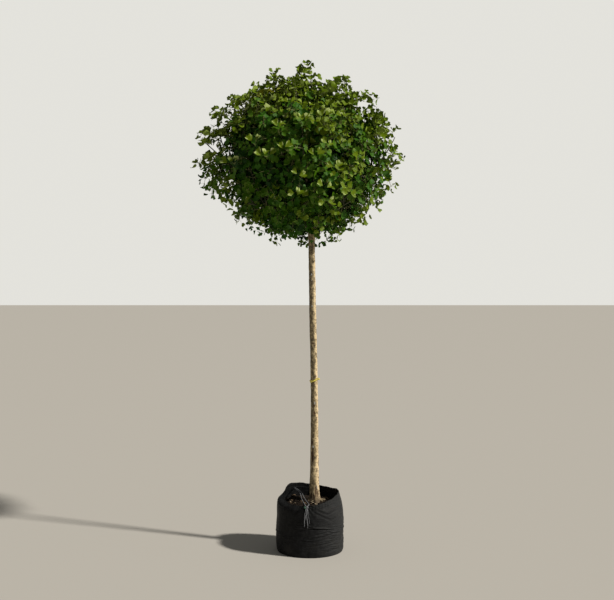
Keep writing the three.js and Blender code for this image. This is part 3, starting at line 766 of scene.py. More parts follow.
# Where the placed flushes stand. The outline is solved for its front: across is
# (share^p - up^p)^(1/p), and the depth follows from across and x.
def flushTips():
    x, z = (np.array(sprays["flushes"]) - crownCentre[[0, 2]]).T
    power = np.where(z > 0, crown["powerAbove"], crown["powerBelow"])
    up = np.abs(z) / np.where(z > 0, crown["rise"], crown["drop"])
    across = np.maximum(sprays["flushShare"] ** power - up**power, 0.01) ** (1 / power)
    depth = crown["halfDepth"] * np.sqrt(np.maximum(across**2 - (x / crown["halfWidth"]) ** 2, 0.01))
    return crownCentre + np.stack([x, -depth, z], -1)


def insetPoint(ways, reach):  # a little inside a reach, to leave room for the leaves
    return crownPoint(ways, reach - sprays["inset"] / outlineRadius(ways))


# The ends of the shoots, and each one's reach as a share of the full crown there.
def shootTips():
    tips = []
    reaches = []

    def grow(ways, reach, share=None):
        tips.append(insetPoint(ways, reach))
        reaches.append(reach / fullShare(ways) if share is None else share + 0 * reach)

    for count, least, most, lane in sprays["shells"]:
        k = np.arange(count)
        jitter = np.stack([chance(k, lane + i) for i in (30, 40, 50)], -1) - 0.5
        ways = unit(goldenWays(count, 57 * lane) + sprays["scatter"] * jitter)
        reach = mix(least, most, chance(k, lane)) * fullShare(ways)
        grow(ways, np.minimum(reach, sprays["furthest"][0] - sprays["furthest"][1] * ways[:, 1] ** 2))
    count, lowest, highest, least, most = sprays["skirt"]
    k = np.arange(count)
    ways = directionOf(np.degrees(k * goldenAngle), mix(lowest, highest, chance(k, 87)))
    grow(ways, mix(least, most, chance(k, 88)), 0.95)
    wandMiddle, wandHalf = sprays["wands"]
    for i, (aside, forward, shorter) in enumerate(sprays["beside"]):
        angles, far = np.array(sprays["standing"]).T
        wanted = (np.abs(angles - wandMiddle) > wandHalf) | (i < sprays["besideWand"])
        grow(standingWays(angles[wanted] + aside, forward), far[wanted] - shorter)
    count, lowest, highest, least, most = sprays["topSprays"]
    k = np.arange(count)
    ways = directionOf(np.degrees(k * goldenAngle) + 20, mix(lowest, highest, (k + 0.5) / count))
    sideways = np.abs(ways[:, 0]) / np.hypot(ways[:, 0], ways[:, 1])
    reach = mix(least, most, chance(k, 89)) * (1 - sprays["topNarrower"] * sideways)
    grow(ways, reach * (1 - sprays["topShorter"] * np.clip(ways[:, 2], 0, 1) ** 6))
    tips.append(flushTips())
    reaches.append(np.ones(len(sprays["flushes"])))
    return np.vstack(tips), np.concatenate(reaches)


# Each shoot leaves a twig or stem of its own mass, at the place that costs least: near its tip,
# below it rather than beside it, and not so close that the shoot would have no length.
def planShoots(twigs, twigMass):
    tips, reaches = shootTips()
    mass = massOf(tips)
    perches = []
    headings = []
    owner = []
    for curves, masses, along in ((twigs, twigMass, np.linspace(0.2, 0.97, 16)),
                                  (stemCurves, np.arange(limbs), np.linspace(0.1, 0.97, 10))):
        perches.append(bezier(curves, along).reshape(-1, 3))
        headings.append(bezierHeading(curves, along).reshape(-1, 3))
        owner.append(np.repeat(masses, len(along)))
    perches = np.vstack(perches)
    offset = tips[:, None] - perches
    outwards = unit(tips - crownCentre)[:, None]
    ahead = dot(offset, outwards)
    aside = np.linalg.norm(offset - ahead * outwards, axis=-1)
    ahead = ahead[..., 0]
    beside, near, astray = sprays["perchCosts"]
    cost = np.linalg.norm(offset, axis=-1) + beside * np.maximum(0, aside - ahead)
    cost = cost + near * np.maximum(0, sprays["leastRun"] - ahead)
    cost = cost + astray * (np.concatenate(owner) != mass[:, None])
    best = cost.argmin(1)
    root = perches[best]
    length = np.linalg.norm(tips - root, axis=-1, keepdims=True)
    bend = mix(root, tips, 0.5) + np.vstack(headings)[best] * sprays["bend"] * length
    bend[:, 2:] += sprays["lift"] * length
    return np.stack([root, bend, tips], 1), mass, reaches


sunWay = directionOf(stage["sunTurn"], stage["sunHeight"])


# Spurs stand on a shoot at even gaps back from its tip, turned on by the golden angle.
def planSpurs(shoots):
    length = np.linalg.norm(shoots[:, 2] - shoots[:, 0], axis=-1)
    j = np.arange(sprays["spurs"])
    back = sprays["firstSpur"] + sprays["spurGap"] * j
    share = 1 - back / length[:, None]
    shoot = np.broadcast_to(np.arange(len(shoots))[:, None], share.shape)
    place = np.broadcast_to(j, share.shape)
    keep = share > sprays["bareFoot"]
    shoot, place, share = shoot[keep], place[keep], share[keep]
    point = bezier(shoots[shoot], share[:, None])[:, 0]
    heading = bezierHeading(shoots[shoot], share[:, None])[:, 0]
    side = unit(np.cross(heading, [0.3, 0.2, 1.0]))
    over = np.cross(heading, side)
    turn = (goldenAngle * place + sprays["looseTurn"] * chance(shoot, 60))[:, None]
    outwards = unit(point - crownCentre)
    outwards[:, 2] = np.maximum(outwards[:, 2], sprays["deepest"])
    outer, upper = sprays["light"]
    light = unit(unit(outwards) * outer + np.array([0, 0, upper]) + sunWay * sprays["sunward"])
    ahead, away, lit = sprays["spurWay"]
    way = heading * ahead + (side * np.cos(turn) + over * np.sin(turn)) * away + light * lit
    way = np.where((place == 0)[:, None], heading + sprays["firstSpurLight"] * light, way)
    return point, unit(way), light, shoot, place


# Leaves stand round a spur on stalks, and turn their faces to the light. On a flush, at some
# tips, two or three larger leaves are held up side by side.
def planLeaves(spurs, airy, reaches):
    point, way, light, shoot, place = spurs
    count = len(point)
    most = sprays["leaves"][1]
    number = np.broadcast_to(np.arange(most), (count, most))
    wanted = mix(*sprays["leaves"], chance(shoot * 7 + place, 61)) + 0.99 - sprays["airy"] * airy[shoot]
    flush = (place == 0) & (chance(shoot, 84) > sprays["flushAbove"]) & ~airy[shoot]
    flush &= (reaches[shoot] > sprays["flushReach"]) & (light[:, 2] > sprays["flushRise"])
    placed = shoot >= len(reaches) - len(sprays["flushes"])
    flush |= placed & (place == 0)
    crowded = (place == 1) & (chance(shoot, 84) > sprays["flushAbove"])
    wanted = np.where(flush, sprays["flushLeaves"] + chance(shoot, 85), wanted - crowded).astype(int)
    keep = number < wanted[:, None]
    spur = np.broadcast_to(np.arange(count)[:, None], number.shape)[keep]
    number = number[keep]
    k = spur * most + number
    way, light = way[spur], light[spur]
    side = unit(np.cross(way, [0.2, 1.0, 0.1]))
    over = np.cross(way, side)
    turn = 2 * np.pi * number / wanted[spur] + sprays["looseTurn"] * chance(spur, 62) + chance(k, 63)
    radial = side * np.cos(turn)[:, None] + over * np.sin(turn)[:, None]
    fast, least = sprays["hanging"]
    up = np.array([0, 0, 1.0]) * np.clip(1 + fast * unit(point - crownCentre)[spur, 2:], least, 1)
    lean = np.radians(mix(*sprays["spread"], chance(k, 64)))[:, None]
    across = unit(np.cross(light, [0, 0, 1.0])) * (number - (wanted[spur] - 1) / 2)[:, None]
    held = flush[spur][:, None]
    loose = np.where(airy[shoot[spur]], *sprays["looseness"][::-1])[:, None]
    withSpur, upwards, aside = sprays["heldStalk"]
    stalk = unit(way * np.cos(lean) + radial * np.sin(lean) + up * sprays["stalkRise"])
    stalk = np.where(held, unit(way * withSpur + up * upwards + across * aside), stalk)
    root = point[spur]
    foot = root + stalk * (mix(*sprays["stalk"], chance(k, 65))[:, None] + held * sprays["flushStalk"])
    jitter = np.stack([chance(k, lane) for lane in (66, 67, 68)], -1) - 0.5
    byChance, inwards = sprays["heldFace"]
    face = unit(light + np.where(held, byChance * jitter - inwards * across, loose * jitter + 0.2 * radial))
    withStalk, outwards, upwards, byChance = sprays["along"]
    along = stalk * withStalk + radial * outwards + up * upwards + byChance * jitter[:, ::-1]
    aside, byChance = sprays["heldAlong"]
    along = np.where(held, up + across * aside + byChance * jitter, along)
    along = unit(along - face * dot(face, along))
    return {"root": root, "foot": foot, "along": along, "face": face, "spur": spur, "k": k,
            "shoot": shoot[spur], "place": place[spur], "flush": flush[spur], "flushSpur": flush,
            "placed": placed[spur]}


leaf = {
    "length": (0.022, 0.030),  # from the stalk to the rim
    "largest": 1.46,
    "tipLeaves": (1.12, 0.94),  # at a shoot's tip, and behind it
    "flush": 1.35,
    "longest": (0.034, 0.040),  # of a common leaf and of one in a flush
    "placed": (0.036, 0.045),  # in a flush that stands out in front
    "flushAngle": 0.66,  # a flush leaf is narrower
    "standing": 0.90,  # on a shoot that stands out of the crown
    "least": 0.92,
    "masses": (6, 22),  # largest so many degrees round a mass's middle, and smaller over as many
    "uneven": (0.9, 1.1),
    "shoulder": 0.28,
    "notchWidth": 0.13,
    "halfAngle": (52, 80),  # degrees
    "notch": (0.06, 0.30),
    "cup": (0.20, 0.85),
    "flushCup": 1.7,
    "curl": (-0.10, 0.35),
    "wave": 0.07,
    "scallop": 0.09,
    "thickness": 0.0009,
    "rows": (0.0, 0.56, 1.0),
    "cols": 9,
}


# A fan: reach(a) = 1 - shoulder a^6 - notch e^(-(a/width)^2) + scallops, turned a * halfAngle
# from the stalk; it rises by cup * x^2 at the sides, curls back at the rim and ripples. The
# underside lies a little lower, and meets the top at the rim.
def fanSkins(k, length, deeper, narrower):
    a = np.linspace(-1, 1, leaf["cols"])[None, None, :]
    r = np.array(leaf["rows"])[None, 1:, None]
    pick = [chance(k, lane)[:, None, None] for lane in range(70, 76)]
    notch = mix(*leaf["notch"], pick[0]) * np.exp(-((a / leaf["notchWidth"]) ** 2))
    reach = 1 - leaf["shoulder"] * a**6 - notch * r**3
    reach = reach + leaf["scallop"] * np.cos(3 * np.pi * a + 6 * pick[1]) * r**3
    turn = np.radians(mix(*leaf["halfAngle"], pick[2])) * narrower[:, None, None] * a
    x = reach * r * np.sin(turn)
    y = reach * r * np.cos(turn)
    z = mix(*leaf["cup"], pick[3]) * deeper[:, None, None] * x * x
    z = z - mix(*leaf["curl"], pick[4]) * r**3 * (1 - a * a)
    z = z + leaf["wave"] * r * r * np.sin(4.5 * a + 6 * pick[5])
    top = np.stack(np.broadcast_arrays(x, y, z), -1).reshape(len(k), -1, 3) * length[:, None, None]
    sunk = leaf["thickness"] * (1 - a * a) * (r < 1)
    under = top.copy()
    under[..., 2] -= np.broadcast_to(sunk, (len(k),) + sunk.shape[1:]).reshape(len(k), -1)
    foot = np.zeros((len(k), 1, 3))
    return np.concatenate([foot, top, foot, under], 1)


def fanFaces():  # triangles at the stalk and quads beyond, of the top and of the underside
    cols = leaf["cols"]
    c = np.arange(cols - 1)
    foot = np.stack([0 * c, 1 + c + 1, 1 + c], -1)
    mid = np.stack([1 + c, 2 + c, 2 + c + cols, 1 + c + cols], -1)
    half = 1 + 2 * cols
    return np.vstack([foot, foot[:, ::-1] + half]), np.vstack([mid, mid[:, ::-1] + half])


# The first four are lit and shaded copies of one green, top and underside: the painted light and
# shade of a spray gives all its leaves one of them, the brightest first.
leafTones = {
    # top colour, underside colour
    "bright leaf": ((0.102, 0.162, 0.002), (0.22, 0.30, 0.05)),
    "fresh and half-lit leaf": ((0.046, 0.120, 0.002), (0.12, 0.20, 0.028)),
    "green leaf": ((0.028, 0.100, 0.003), (0.052, 0.130, 0.017)),
    "deep leaf": ((0.008, 0.039, 0.002), (0.012, 0.044, 0.005)),
    "yellowed leaf": ((0.175, 0.190, 0.004), (0.26, 0.28, 0.05)),
    "flush leaf": ((0.108, 0.165, 0.004), (0.37, 0.45, 0.16)),
}


# A plain colour, as the tints are dealt out by spray, with veins that fan out in relief.
def leafFinish(name, colour, gloss, veinStrength):
    finish, shader = startFinish(name, colour, *gloss)
    fan = addNode(finish, "ShaderNodeUVMap", uv_map="surface").outputs[0]
    veins = addNode(finish, "ShaderNodeTexWave", {"Vector": fan, "Scale": 14, "Distortion": 0.4})
    bump(finish, shader, veins.outputs[1], 0.0006, veinStrength)
    return finish


# painted light and shade on the sprays' tones, with their differences by chance
toneAndPaintedLight = {
    "base": 0.13,
    "above": 0.34,  # brighter towards the top
    "outer": (2.3, 0.9),  # and past a share of the full crown's reach
    "shoots": 0.7,  # how much they differ by chance
    "spurs": 0.4,
    "inner": 0.06,  # less for each spur back from the tip
    "hollows": 0.44,
    "shade": 0.10,  # less on the side away from the sun
    "flushes": (0.42, 0.055),  # less behind a placed flush, and how far round it
    "steps": (-0.46, -0.08, 0.33),
    "pale": 0.6,  # share of the bright sprays' flushes that are pale
    "yellowed": (0.990, 0.2),  # past which chance, and above which height
}


# The tone of each spray, by number, is painted light and shade: brighter above and towards the
# outline, deeper inside and below, in hollows, away from the sun and behind the flushes, with some
# difference by chance.
def sprayTones(spurs, reaches, flush):
    point, _, _, shoot, place = spurs
    k = np.arange(len(point))
    out = unit(point - crownCentre)
    bright = toneAndPaintedLight["base"] + toneAndPaintedLight["above"] * out[:, 2]
    bright = bright + toneAndPaintedLight["outer"][0] * (reaches[shoot] - toneAndPaintedLight["outer"][1])
    bright = bright + toneAndPaintedLight["shoots"] * (chance(shoot, 80) - 0.5) + toneAndPaintedLight["spurs"] * (chance(k, 83) - 0.5)
    bright = bright - toneAndPaintedLight["inner"] * place + toneAndPaintedLight["hollows"] * hollowsAt(out)
    bright = bright - toneAndPaintedLight["shade"] * np.clip(-dot(out, sunWay)[:, 0], 0, 1)
    placed = shoot >= len(reaches) - len(sprays["flushes"])
    near = np.linalg.norm(point[:, None] - flushTips(), axis=-1).min(1) / toneAndPaintedLight["flushes"][1]
    bright = bright - toneAndPaintedLight["flushes"][0] * np.exp(-(near**2)) * ~placed
    tone = np.digitize(-bright, toneAndPaintedLight["steps"])
    pale = flush & (placed | ((tone < 2) & (chance(k, 86) < toneAndPaintedLight["pale"])))
    tone = np.where(pale, 5, np.where(flush, 1, tone))
    yellowed = (chance(k, 81) > toneAndPaintedLight["yellowed"][0]) & (out[:, 2] > toneAndPaintedLight["yellowed"][1])
    return np.where(yellowed, 4, tone)


# The leaves are larger towards the middle of each mass.
def sprayVigour(shoots, mass):
    middle = unit(massCentres - crownCentre)[mass]
    apart = np.degrees(np.arccos(np.clip(dot(unit(shoots[:, 2] - crownCentre), middle)[:, 0], -1, 1)))
    share = np.clip((apart - leaf["masses"][0]) / leaf["masses"][1], 0, 1)
    uneven = mix(*leaf["uneven"], chance(np.arange(len(shoots)), 82))
    return mix(leaf["largest"], leaf["least"], share) * uneven


# The leaves of each mass as one piece: every fan is set on its stalk's end by its own axes.
def makeLeaves(leaves, mass, tones, vigour):
    tris, quads = fanFaces()
    finishes = []
    for name, (top, below) in leafTones.items():
        finishes.append(leafFinish(name, top, (0.42, 0.13), 0.35))
        finishes.append(leafFinish(name + " underside", below, (0.55, 0.05), 0.5))
    a = np.linspace(0, 1, leaf["cols"])
    fan = np.vstack([[0.5, 0], np.stack([a, 0 * a + 0.5], -1), np.stack([a, 0 * a + 1], -1)])
    fan = np.vstack([fan, fan])
    k, spur, shoot, flush = (leaves[key] for key in ("k", "spur", "shoot", "flush"))
    size = mix(*leaf["length"], chance(k, 69)) * vigour[shoot]
    size = size * np.where(leaves["place"] < 2, *leaf["tipLeaves"]) * np.where(flush, leaf["flush"], 1)
    size = np.minimum(size, np.where(flush, *leaf["longest"][::-1]))
    size = np.where(flush & leaves["placed"], mix(*leaf["placed"], chance(k, 79)), size)
    owner = mass[shoot]
    total = 0
    for i, name in enumerate(massNames):
        own = owner == i
        deeper = np.where(flush[own], leaf["flushCup"], 1)
        narrower = np.where(flush[own], leaf["flushAngle"], 1)
        local = fanSkins(k[own], size[own], deeper, narrower)
        along, face = leaves["along"][own], leaves["face"][own]
        axes = np.stack([np.cross(along, face), along, face], 1)
        points = leaves["foot"][own][:, None] + local @ axes
        count, each, _ = points.shape
        shift = (np.arange(count) * each)[:, None, None]
        faces = [(group + shift).reshape(-1, group.shape[1]) for group in (tris, quads)]
        side = np.repeat([0, 1], len(tris) // 2)  # top and underside finishes stand in pairs
        kinds = np.tile((2 * tones[spur[own]][:, None] + side).ravel(), 2)
        shares = np.concatenate([np.tile(fan[group].reshape(-1, 2), (count, 1)) for group in (tris, quads)])
        addPiece(f"leaves_{name}", points.reshape(-1, 3), faces, finishes,
                 [f"foliage_{name}"], kinds=kinds, shares=shares)
        total += count * (len(tris) + 2 * len(quads))
    print("leaves", len(owner), "triangles", total)


twigLook = {"gloss": (0.7, 0.35), "grain": (90, 3), "levels": (0.40, 0.65), "depth": (0.0006, 0.5),
            "relief": (500, 3)}
twigColours = {
    "young twig bark": ((0.065, 0.070, 0.030), (0.030, 0.032, 0.016)),
    "leaf stalk": ((0.32, 0.36, 0.13), (0.20, 0.25, 0.06)),
    "green shoot": ((0.26, 0.27, 0.12), (0.11, 0.13, 0.045)),
}


# The stem, twigs and shoots of each mass and its leaves' stalks, as one piece. The tubes are of
# fewer steps and sides the thinner they are.
def makeTwigs(twigs, twigMass, shoots, mass, leaves):
    finishes = [grainFinish(name, *pair, **twigLook) for name, pair in twigColours.items()]
    total = 0
    for i, name in enumerate(massNames):
        parts = []
        tones = []
        stemRadii = (crown["boughRadii"][1], crown["stemTip"])
        for curves, radii, steps, sides, tone in (
                (stemCurves[i : i + 1], stemRadii, 12, 8, 0),
                (twigs[twigMass == i], crown["twigRadii"], 9, 6, 0),
                (shoots[mass == i], sprays["shootRadii"], 6, 4, 2)):
            t = np.linspace(0, 1, steps)
            parts.append(tubeMesh(bezier(curves, t), mix(*radii, t), sides))
            tones += [tone, tone]
        own = mass[leaves["shoot"]] == i
        tips = leaves["foot"][own] + leaves["along"][own] * 0.0012
        parts.append(spikeMesh(leaves["root"][own], tips, sprays["stalkRadius"]))
        points, faces = joinMeshes(parts)
        kinds = np.concatenate([np.full(len(f), tone) for f, tone in zip(faces, tones + [1])])
        addPiece(f"twigs_{name}", points, faces, finishes, [f"foliage_{name}"],
                 kinds=kinds)
        total += sum(len(f) * (f.shape[1] - 2) for f in faces)
    print("twigs and stalks, triangles", total)


boughs = {
    "steps": 34,
    "sides": 14,
    "rough": 0.10,
    "swell": (0.35, 9),  # at the graft: share of the radius, and how fast it falls off
    "relief": [(1.0, 1, 0.7), (0.5, 1, 0.3)],  # depth, stretch, size
    "colours": ((0.20, 0.17, 0.10), (0.10, 0.085, 0.05)),
}


# Boughs: each limb's radius tapers, swells at the graft, and soft noise gives it knots and bark.
def makeBoughs():
    t = np.linspace(0, 1, boughs["steps"])
    paths = bezier(boughCurves, t)
    paths[:, 0] += (graft - paths[:, 0]) * 0.5
    turn = roundSteps(boughs["sides"])
    ring = np.stack(np.broadcast_arrays(np.cos(turn), np.sin(turn), t[:, None] * 12), -1)
    rough = np.stack([cloudLayers(ring, [(*row, s, "all") for row in boughs["relief"]], {"all": 1.0})
                      for s in range(limbs)])
    radii = mix(*crown["boughRadii"], t)[None, :, None] * (1 + boughs["rough"] * rough)
    swell = 1 + boughs["swell"][0] * np.exp(-t * boughs["swell"][1])[None, :, None]
    points, faces = tubeMesh(paths, radii * swell, boughs["sides"])
    finish = grainFinish("bough bark", *boughs["colours"], **twigLook)
    addPiece("bough_bark", points, faces, [finish], [f"bough_{n}" for n in massNames])
    print("boughs made")


def makeCrown():
    twigs, twigMass = planTwigs()
    shoots, mass, reaches = planShoots(twigs, twigMass)
    spurs = planSpurs(shoots)
    airy = reaches > sprays["airyReach"]
    leaves = planLeaves(spurs, airy, reaches)
    print("twigs", len(twigs), "shoots", len(shoots), "spurs", len(spurs[0]))
    makeBoughs()
    makeTwigs(twigs, twigMass, shoots, mass, leaves)
    vigour = sprayVigour(shoots, mass) * np.where(airy, leaf["standing"], 1)
    makeLeaves(leaves, mass, sprayTones(spurs, reaches, leaves["flushSpur"]), vigour)


bag = {
    # rings below the shoulder: radius, height
    "rings": [(0.0, 0.0), (0.120, 0.0), (0.188, 0.0), (0.1955, 0.0022), (0.1995, 0.010),
              (0.2015, 0.026), (0.2020, 0.060), (0.2020, 0.100), (0.2018, 0.150), (0.2010, 0.200)],
    "shoulderHeights": (0.272, 0.272, 0.280, 0.292, 0.296, 0.276, 0.262, 0.262),
    "shoulderRadii": (0.194, 0.192, 0.192, 0.192, 0.195, 0.197, 0.198, 0.198),
    "lipHeights": (0.350, 0.344, 0.356, 0.366, 0.312, 0.299, 0.300, 0.328),
    "lipRadii": (0.168, 0.171, 0.172, 0.176, 0.152, 0.168, 0.187, 0.178),
    "wall": 0.0024,
    "cols": 300,
    "footRows": 18,
    "wallRows": 190,
    "innerRows": 60,
    "knotTurn": 0.733 * 2 * np.pi,
    "slack": (0.17, 0.30),  # the cloth hangs freer from one height to the other
    "low": (0.10, 0.0),
    # depth, upright stretch, size, seed and place: all over, where it is slack, or low down
    "relief": [(0.0028, 1, 0.11, 1, "all"), (0.0012, 1, 0.045, 2, "all"),
               (0.0030, 0.35, 0.035, 3, "slack"), (0.0016, 0.6, 0.018, 4, "low")],
    "lipWaves": [(0.0022, 1, 0.03, 8, "lip"), (0.0015, 1, 0.012, 9, "lip")],
    "groove": 0.0045,  # a crease's half width
    "ridge": (0.8, 0.009, 0.006),  # share of the crease's depth, how far above it, half width
    "gather": (0.0024, 15, 0.075),  # depth, how many round the knot, how far they reach
    "dimple": (0.004, 0.022),  # under the knot: depth and size
    "hem": 0.026,
    "hemDepth": 0.0011,
    "seam": (0.0012, 0.0016),  # depth and half width
    "pucker": (0.0011, 64),  # depth, and how many round the hem
    # creases: height, slope, middle in degrees, half width in degrees, depth, how broad
    "creases": [(0.128, 0.030, -52, 40, 0.0020, 1.0), (0.104, -0.020, -30, 34, 0.0022, 1.0),
                (0.078, 0.024, -62, 44, 0.0020, 1.0), (0.160, 0.040, -20, 24, 0.0012, 1.2),
                (0.090, 0.022, 150, 50, 0.0022, 1.0), (0.132, -0.030, 80, 46, 0.0024, 1.0),
                (0.062, 0.016, 20, 34, 0.0020, 1.0), (0.115, 0.025, 215, 30, 0.0010, 1.0),
                (0.200, -0.045, 120, 40, 0.0018, 1.0), (0.268, -0.075, -76, 16, 0.0030, 1.7),
                (0.256, 0.045, -44, 22, 0.0018, 1.8), (0.238, -0.10, -70, 18, 0.0022, 1.5),
                (0.222, 0.045, -36, 20, 0.0014, 1.6), (0.036, 0.010, -38, 34, 0.0026, 1.3)],
    "fineCreases": 80,
    "fineDepth": (0.0008, 0.0022),
}


# The bag's long creases and the short fine ones, most of them to the right of the knot.
def allCreases():
    k = np.arange(bag["fineCreases"])
    middle = np.where(chance(k, 110) < 0.6, mix(-75, -5, chance(k, 111)), 360 * chance(k, 112))
    fine = [mix(0.035, 0.185, chance(k, 113)), 0.09 * (chance(k, 114) - 0.5), middle,
            mix(8, 22, chance(k, 115)), mix(*bag["fineDepth"], chance(k, 116)), 0.6 + 0 * k]
    return bag["creases"] + list(zip(*fine))


# radius += layers of soft noise - creases, each e^(-d^2) across with a ridge above + gathers that
# fan out from the knot, and a hem that is thicker above its puckered seam. The lip waves.
def bagFolds(radius, height, angle):
    lip = ringTable(bag["lipHeights"], angle)
    around = np.stack(np.broadcast_arrays(np.cos(angle) * 0.2, np.sin(angle) * 0.2, height), -1)
    down = lip - height
    where = {"all": 1.0, "slack": softStep(*bag["slack"], height), "low": softStep(*bag["low"], height),
             "lip": softStep(0.03, 0.0, down)}
    out = cloudLayers(around, bag["relief"], where)
    ridgeShare, ridgePlace, ridgeWidth = bag["ridge"]
    for level, slope, middle, half, depth, thin in allCreases():
        turn = turnApart(angle, np.radians(middle))
        track = np.stack(np.broadcast_arrays(angle * 0.5, 0.0, height * 0 + level), -1)
        off = (height - level - slope * turn - 0.006 * cloud(track, 0.16, 5)) / thin
        window = np.exp(-((turn / np.radians(half)) ** 4))
        ridge = ridgeShare * np.exp(-(((off - ridgePlace) / ridgeWidth) ** 2))
        out = out - depth * window * (np.exp(-((off / bag["groove"]) ** 2)) - ridge)
    turn = turnApart(angle, bag["knotTurn"])
    aside = turn * 0.19
    far = np.hypot(aside, down) + 1e-6
    fan = np.arctan2(down, aside)
    depth, folds, reach = bag["gather"]
    close = np.exp(-far / reach) * softStep(0.004, 0.025, far)
    out = out + depth * close * np.cos(folds * fan + 2.2 * cloud(around, 0.05, 6))
    out = out - bag["dimple"][0] * np.exp(-((far / bag["dimple"][1]) ** 2))
    hem = softStep(bag["hem"] + 0.002, bag["hem"] - 0.003, down)
    seam = np.exp(-(((down - bag["hem"] - 0.001) / bag["seam"][1]) ** 2))
    depth, count = bag["pucker"]
    pucker = depth * np.cos(count * angle + 5 * cloud(around, 0.06, 7)) * softStep(0.055, 0.01, down)
    near = 0.35 + 0.65 * np.exp(-np.abs(turn) / 0.9)
    out = out + bag["hemDepth"] * hem - bag["seam"][0] * seam + pucker * near
    held = softStep(0.0, 0.012, height)
    return radius + out * held, height + cloudLayers(around, bag["lipWaves"], where)


# The bag is one closed skin: its outside from the middle of the foot up to the lip, and its
# inside down again. Rings of the table are joined by a smooth curve, and then folded.
def makeBag():
    cols, wall = bag["cols"], bag["wall"]
    angle = roundSteps(cols)
    stations = [(r * np.ones(cols), np.full(cols, z)) for r, z in bag["rings"]]
    for ring in ("shoulder", "lip"):
        stations.append([ringTable(bag[ring + part], angle) for part in ("Radii", "Heights")])
    profile = np.array(stations).reshape(len(stations), -1)
    last = len(stations) - 1
    outer = np.r_[0.002, 0.5, 1.0, 1.6, np.linspace(2.0, 5, bag["footRows"]),
                  np.linspace(5, last, bag["wallRows"])[1:]]
    inner = np.r_[np.linspace(last, 9.3, bag["innerRows"]), np.arange(9, 0, -1), 0.002]
    skins = []
    for at in (outer, inner):
        rows = curveThrough(profile, at).reshape(len(at), 2, -1)
        skins.append(bagFolds(rows[:, 0], np.maximum(rows[:, 1], 0), angle[None]))
    (radius, height), (inRadius, inHeight) = skins
    thick = wall + 0.008 * softStep(0.245, 0.215, inHeight)  # the soil hides it lower down
    radius = np.vstack([radius, radius[-1:] - wall / 2, np.maximum(inRadius - thick, 0.0004)])
    height = np.vstack([height, height[-1:] + wall * 0.45, np.maximum(inHeight, wall)])
    rings = np.stack([radius * np.cos(angle), radius * np.sin(angle), height], -1)
    step = np.linalg.norm(np.diff(rings, axis=0), axis=-1).mean(1)
    shares = skinShares(cols, np.r_[0, np.cumsum(step)], wide=1.26)  # both in metres
    points = np.vstack([rings.reshape(-1, 3), [[0, 0, 0], [0, 0, wall]]])
    addPiece("planting_bag", points, skinFaces(len(rings), cols), [bagFabric()],
             ["root_bag"], shares=shares)
    print("bag made")


bagLook = {
    "cloth": ((0.0068, 0.0071, 0.0075), (0.0235, 0.0246, 0.0258)),  # and where it is worn
    "paintedSunlitSide": (0.033, 0.0345, 0.036),
    "dust": (0.034, 0.032, 0.028),
    # noise: scale, detail, roughness
    "dustPatches": (11, 6, 0.62),
    "wornPatches": (45, 5, 0.7),
    "rumples": (26, 4, 0.6),
    "weave": 150,
}


# Near-black woven tape cloth, worn in patches, with painted sunlight that makes its right side
# paler, and dust that lies thicker low down. A weave, grain and rumples stand in relief.
def bagFabric():
    finish, shader = startFinish("woven bag fabric", bagLook["cloth"][0], 0.5, 0.09)
    cloth = addNode(finish, "ShaderNodeUVMap", uv_map="surface").outputs[0]
    place = objectPlace(finish)
    sides = addNode(finish, "ShaderNodeSeparateXYZ", {0: place})
    low = ramp(finish, sides.outputs[2], [(0.0, 1.0), (0.16, 0.25)])
    # painted sunlight: the cloth paler towards +X, the side towards the sun
    paintedSunlitSide = ramp(finish, sides.outputs[0], [(0.02, 0.0), (0.17, 0.6)])
    broad = noise(finish, objectPlace(finish, (1, 1, 2.2)), *bagLook["dustPatches"])
    dust = sums(finish, "MULTIPLY", ramp(finish, broad, [(0.50, 0.0), (0.75, 0.55)]), low)
    worn = ramp(finish, noise(finish, place, *bagLook["wornPatches"]), [(0.42, 0.0), (0.70, 0.6)])
    colour = blendColours(finish, worn, *bagLook["cloth"])
    colour = blendColours(finish, paintedSunlitSide, colour, bagLook["paintedSunlitSide"])
    colour = blendColours(finish, dust, colour, bagLook["dust"])
    link(finish, colour, shader.inputs["Base Color"])
    weft, warp = (addNode(finish, "ShaderNodeTexWave", {"Vector": cloth, "Scale": bagLook["weave"]},
                          bands_direction=way).outputs[1] for way in "XY")
    weave = sums(finish, "MULTIPLY", weft, warp)
    grain = sums(finish, "ADD", weave, noise(finish, place, 220, 3))
    rumples = noise(finish, objectPlace(finish, (1, 1, 4.5)), *bagLook["rumples"])
    relief = sums(finish, "ADD", grain, sums(finish, "MULTIPLY", rumples, 9.0))
    bump(finish, shader, relief, 0.0005, 0.7)
    return finish


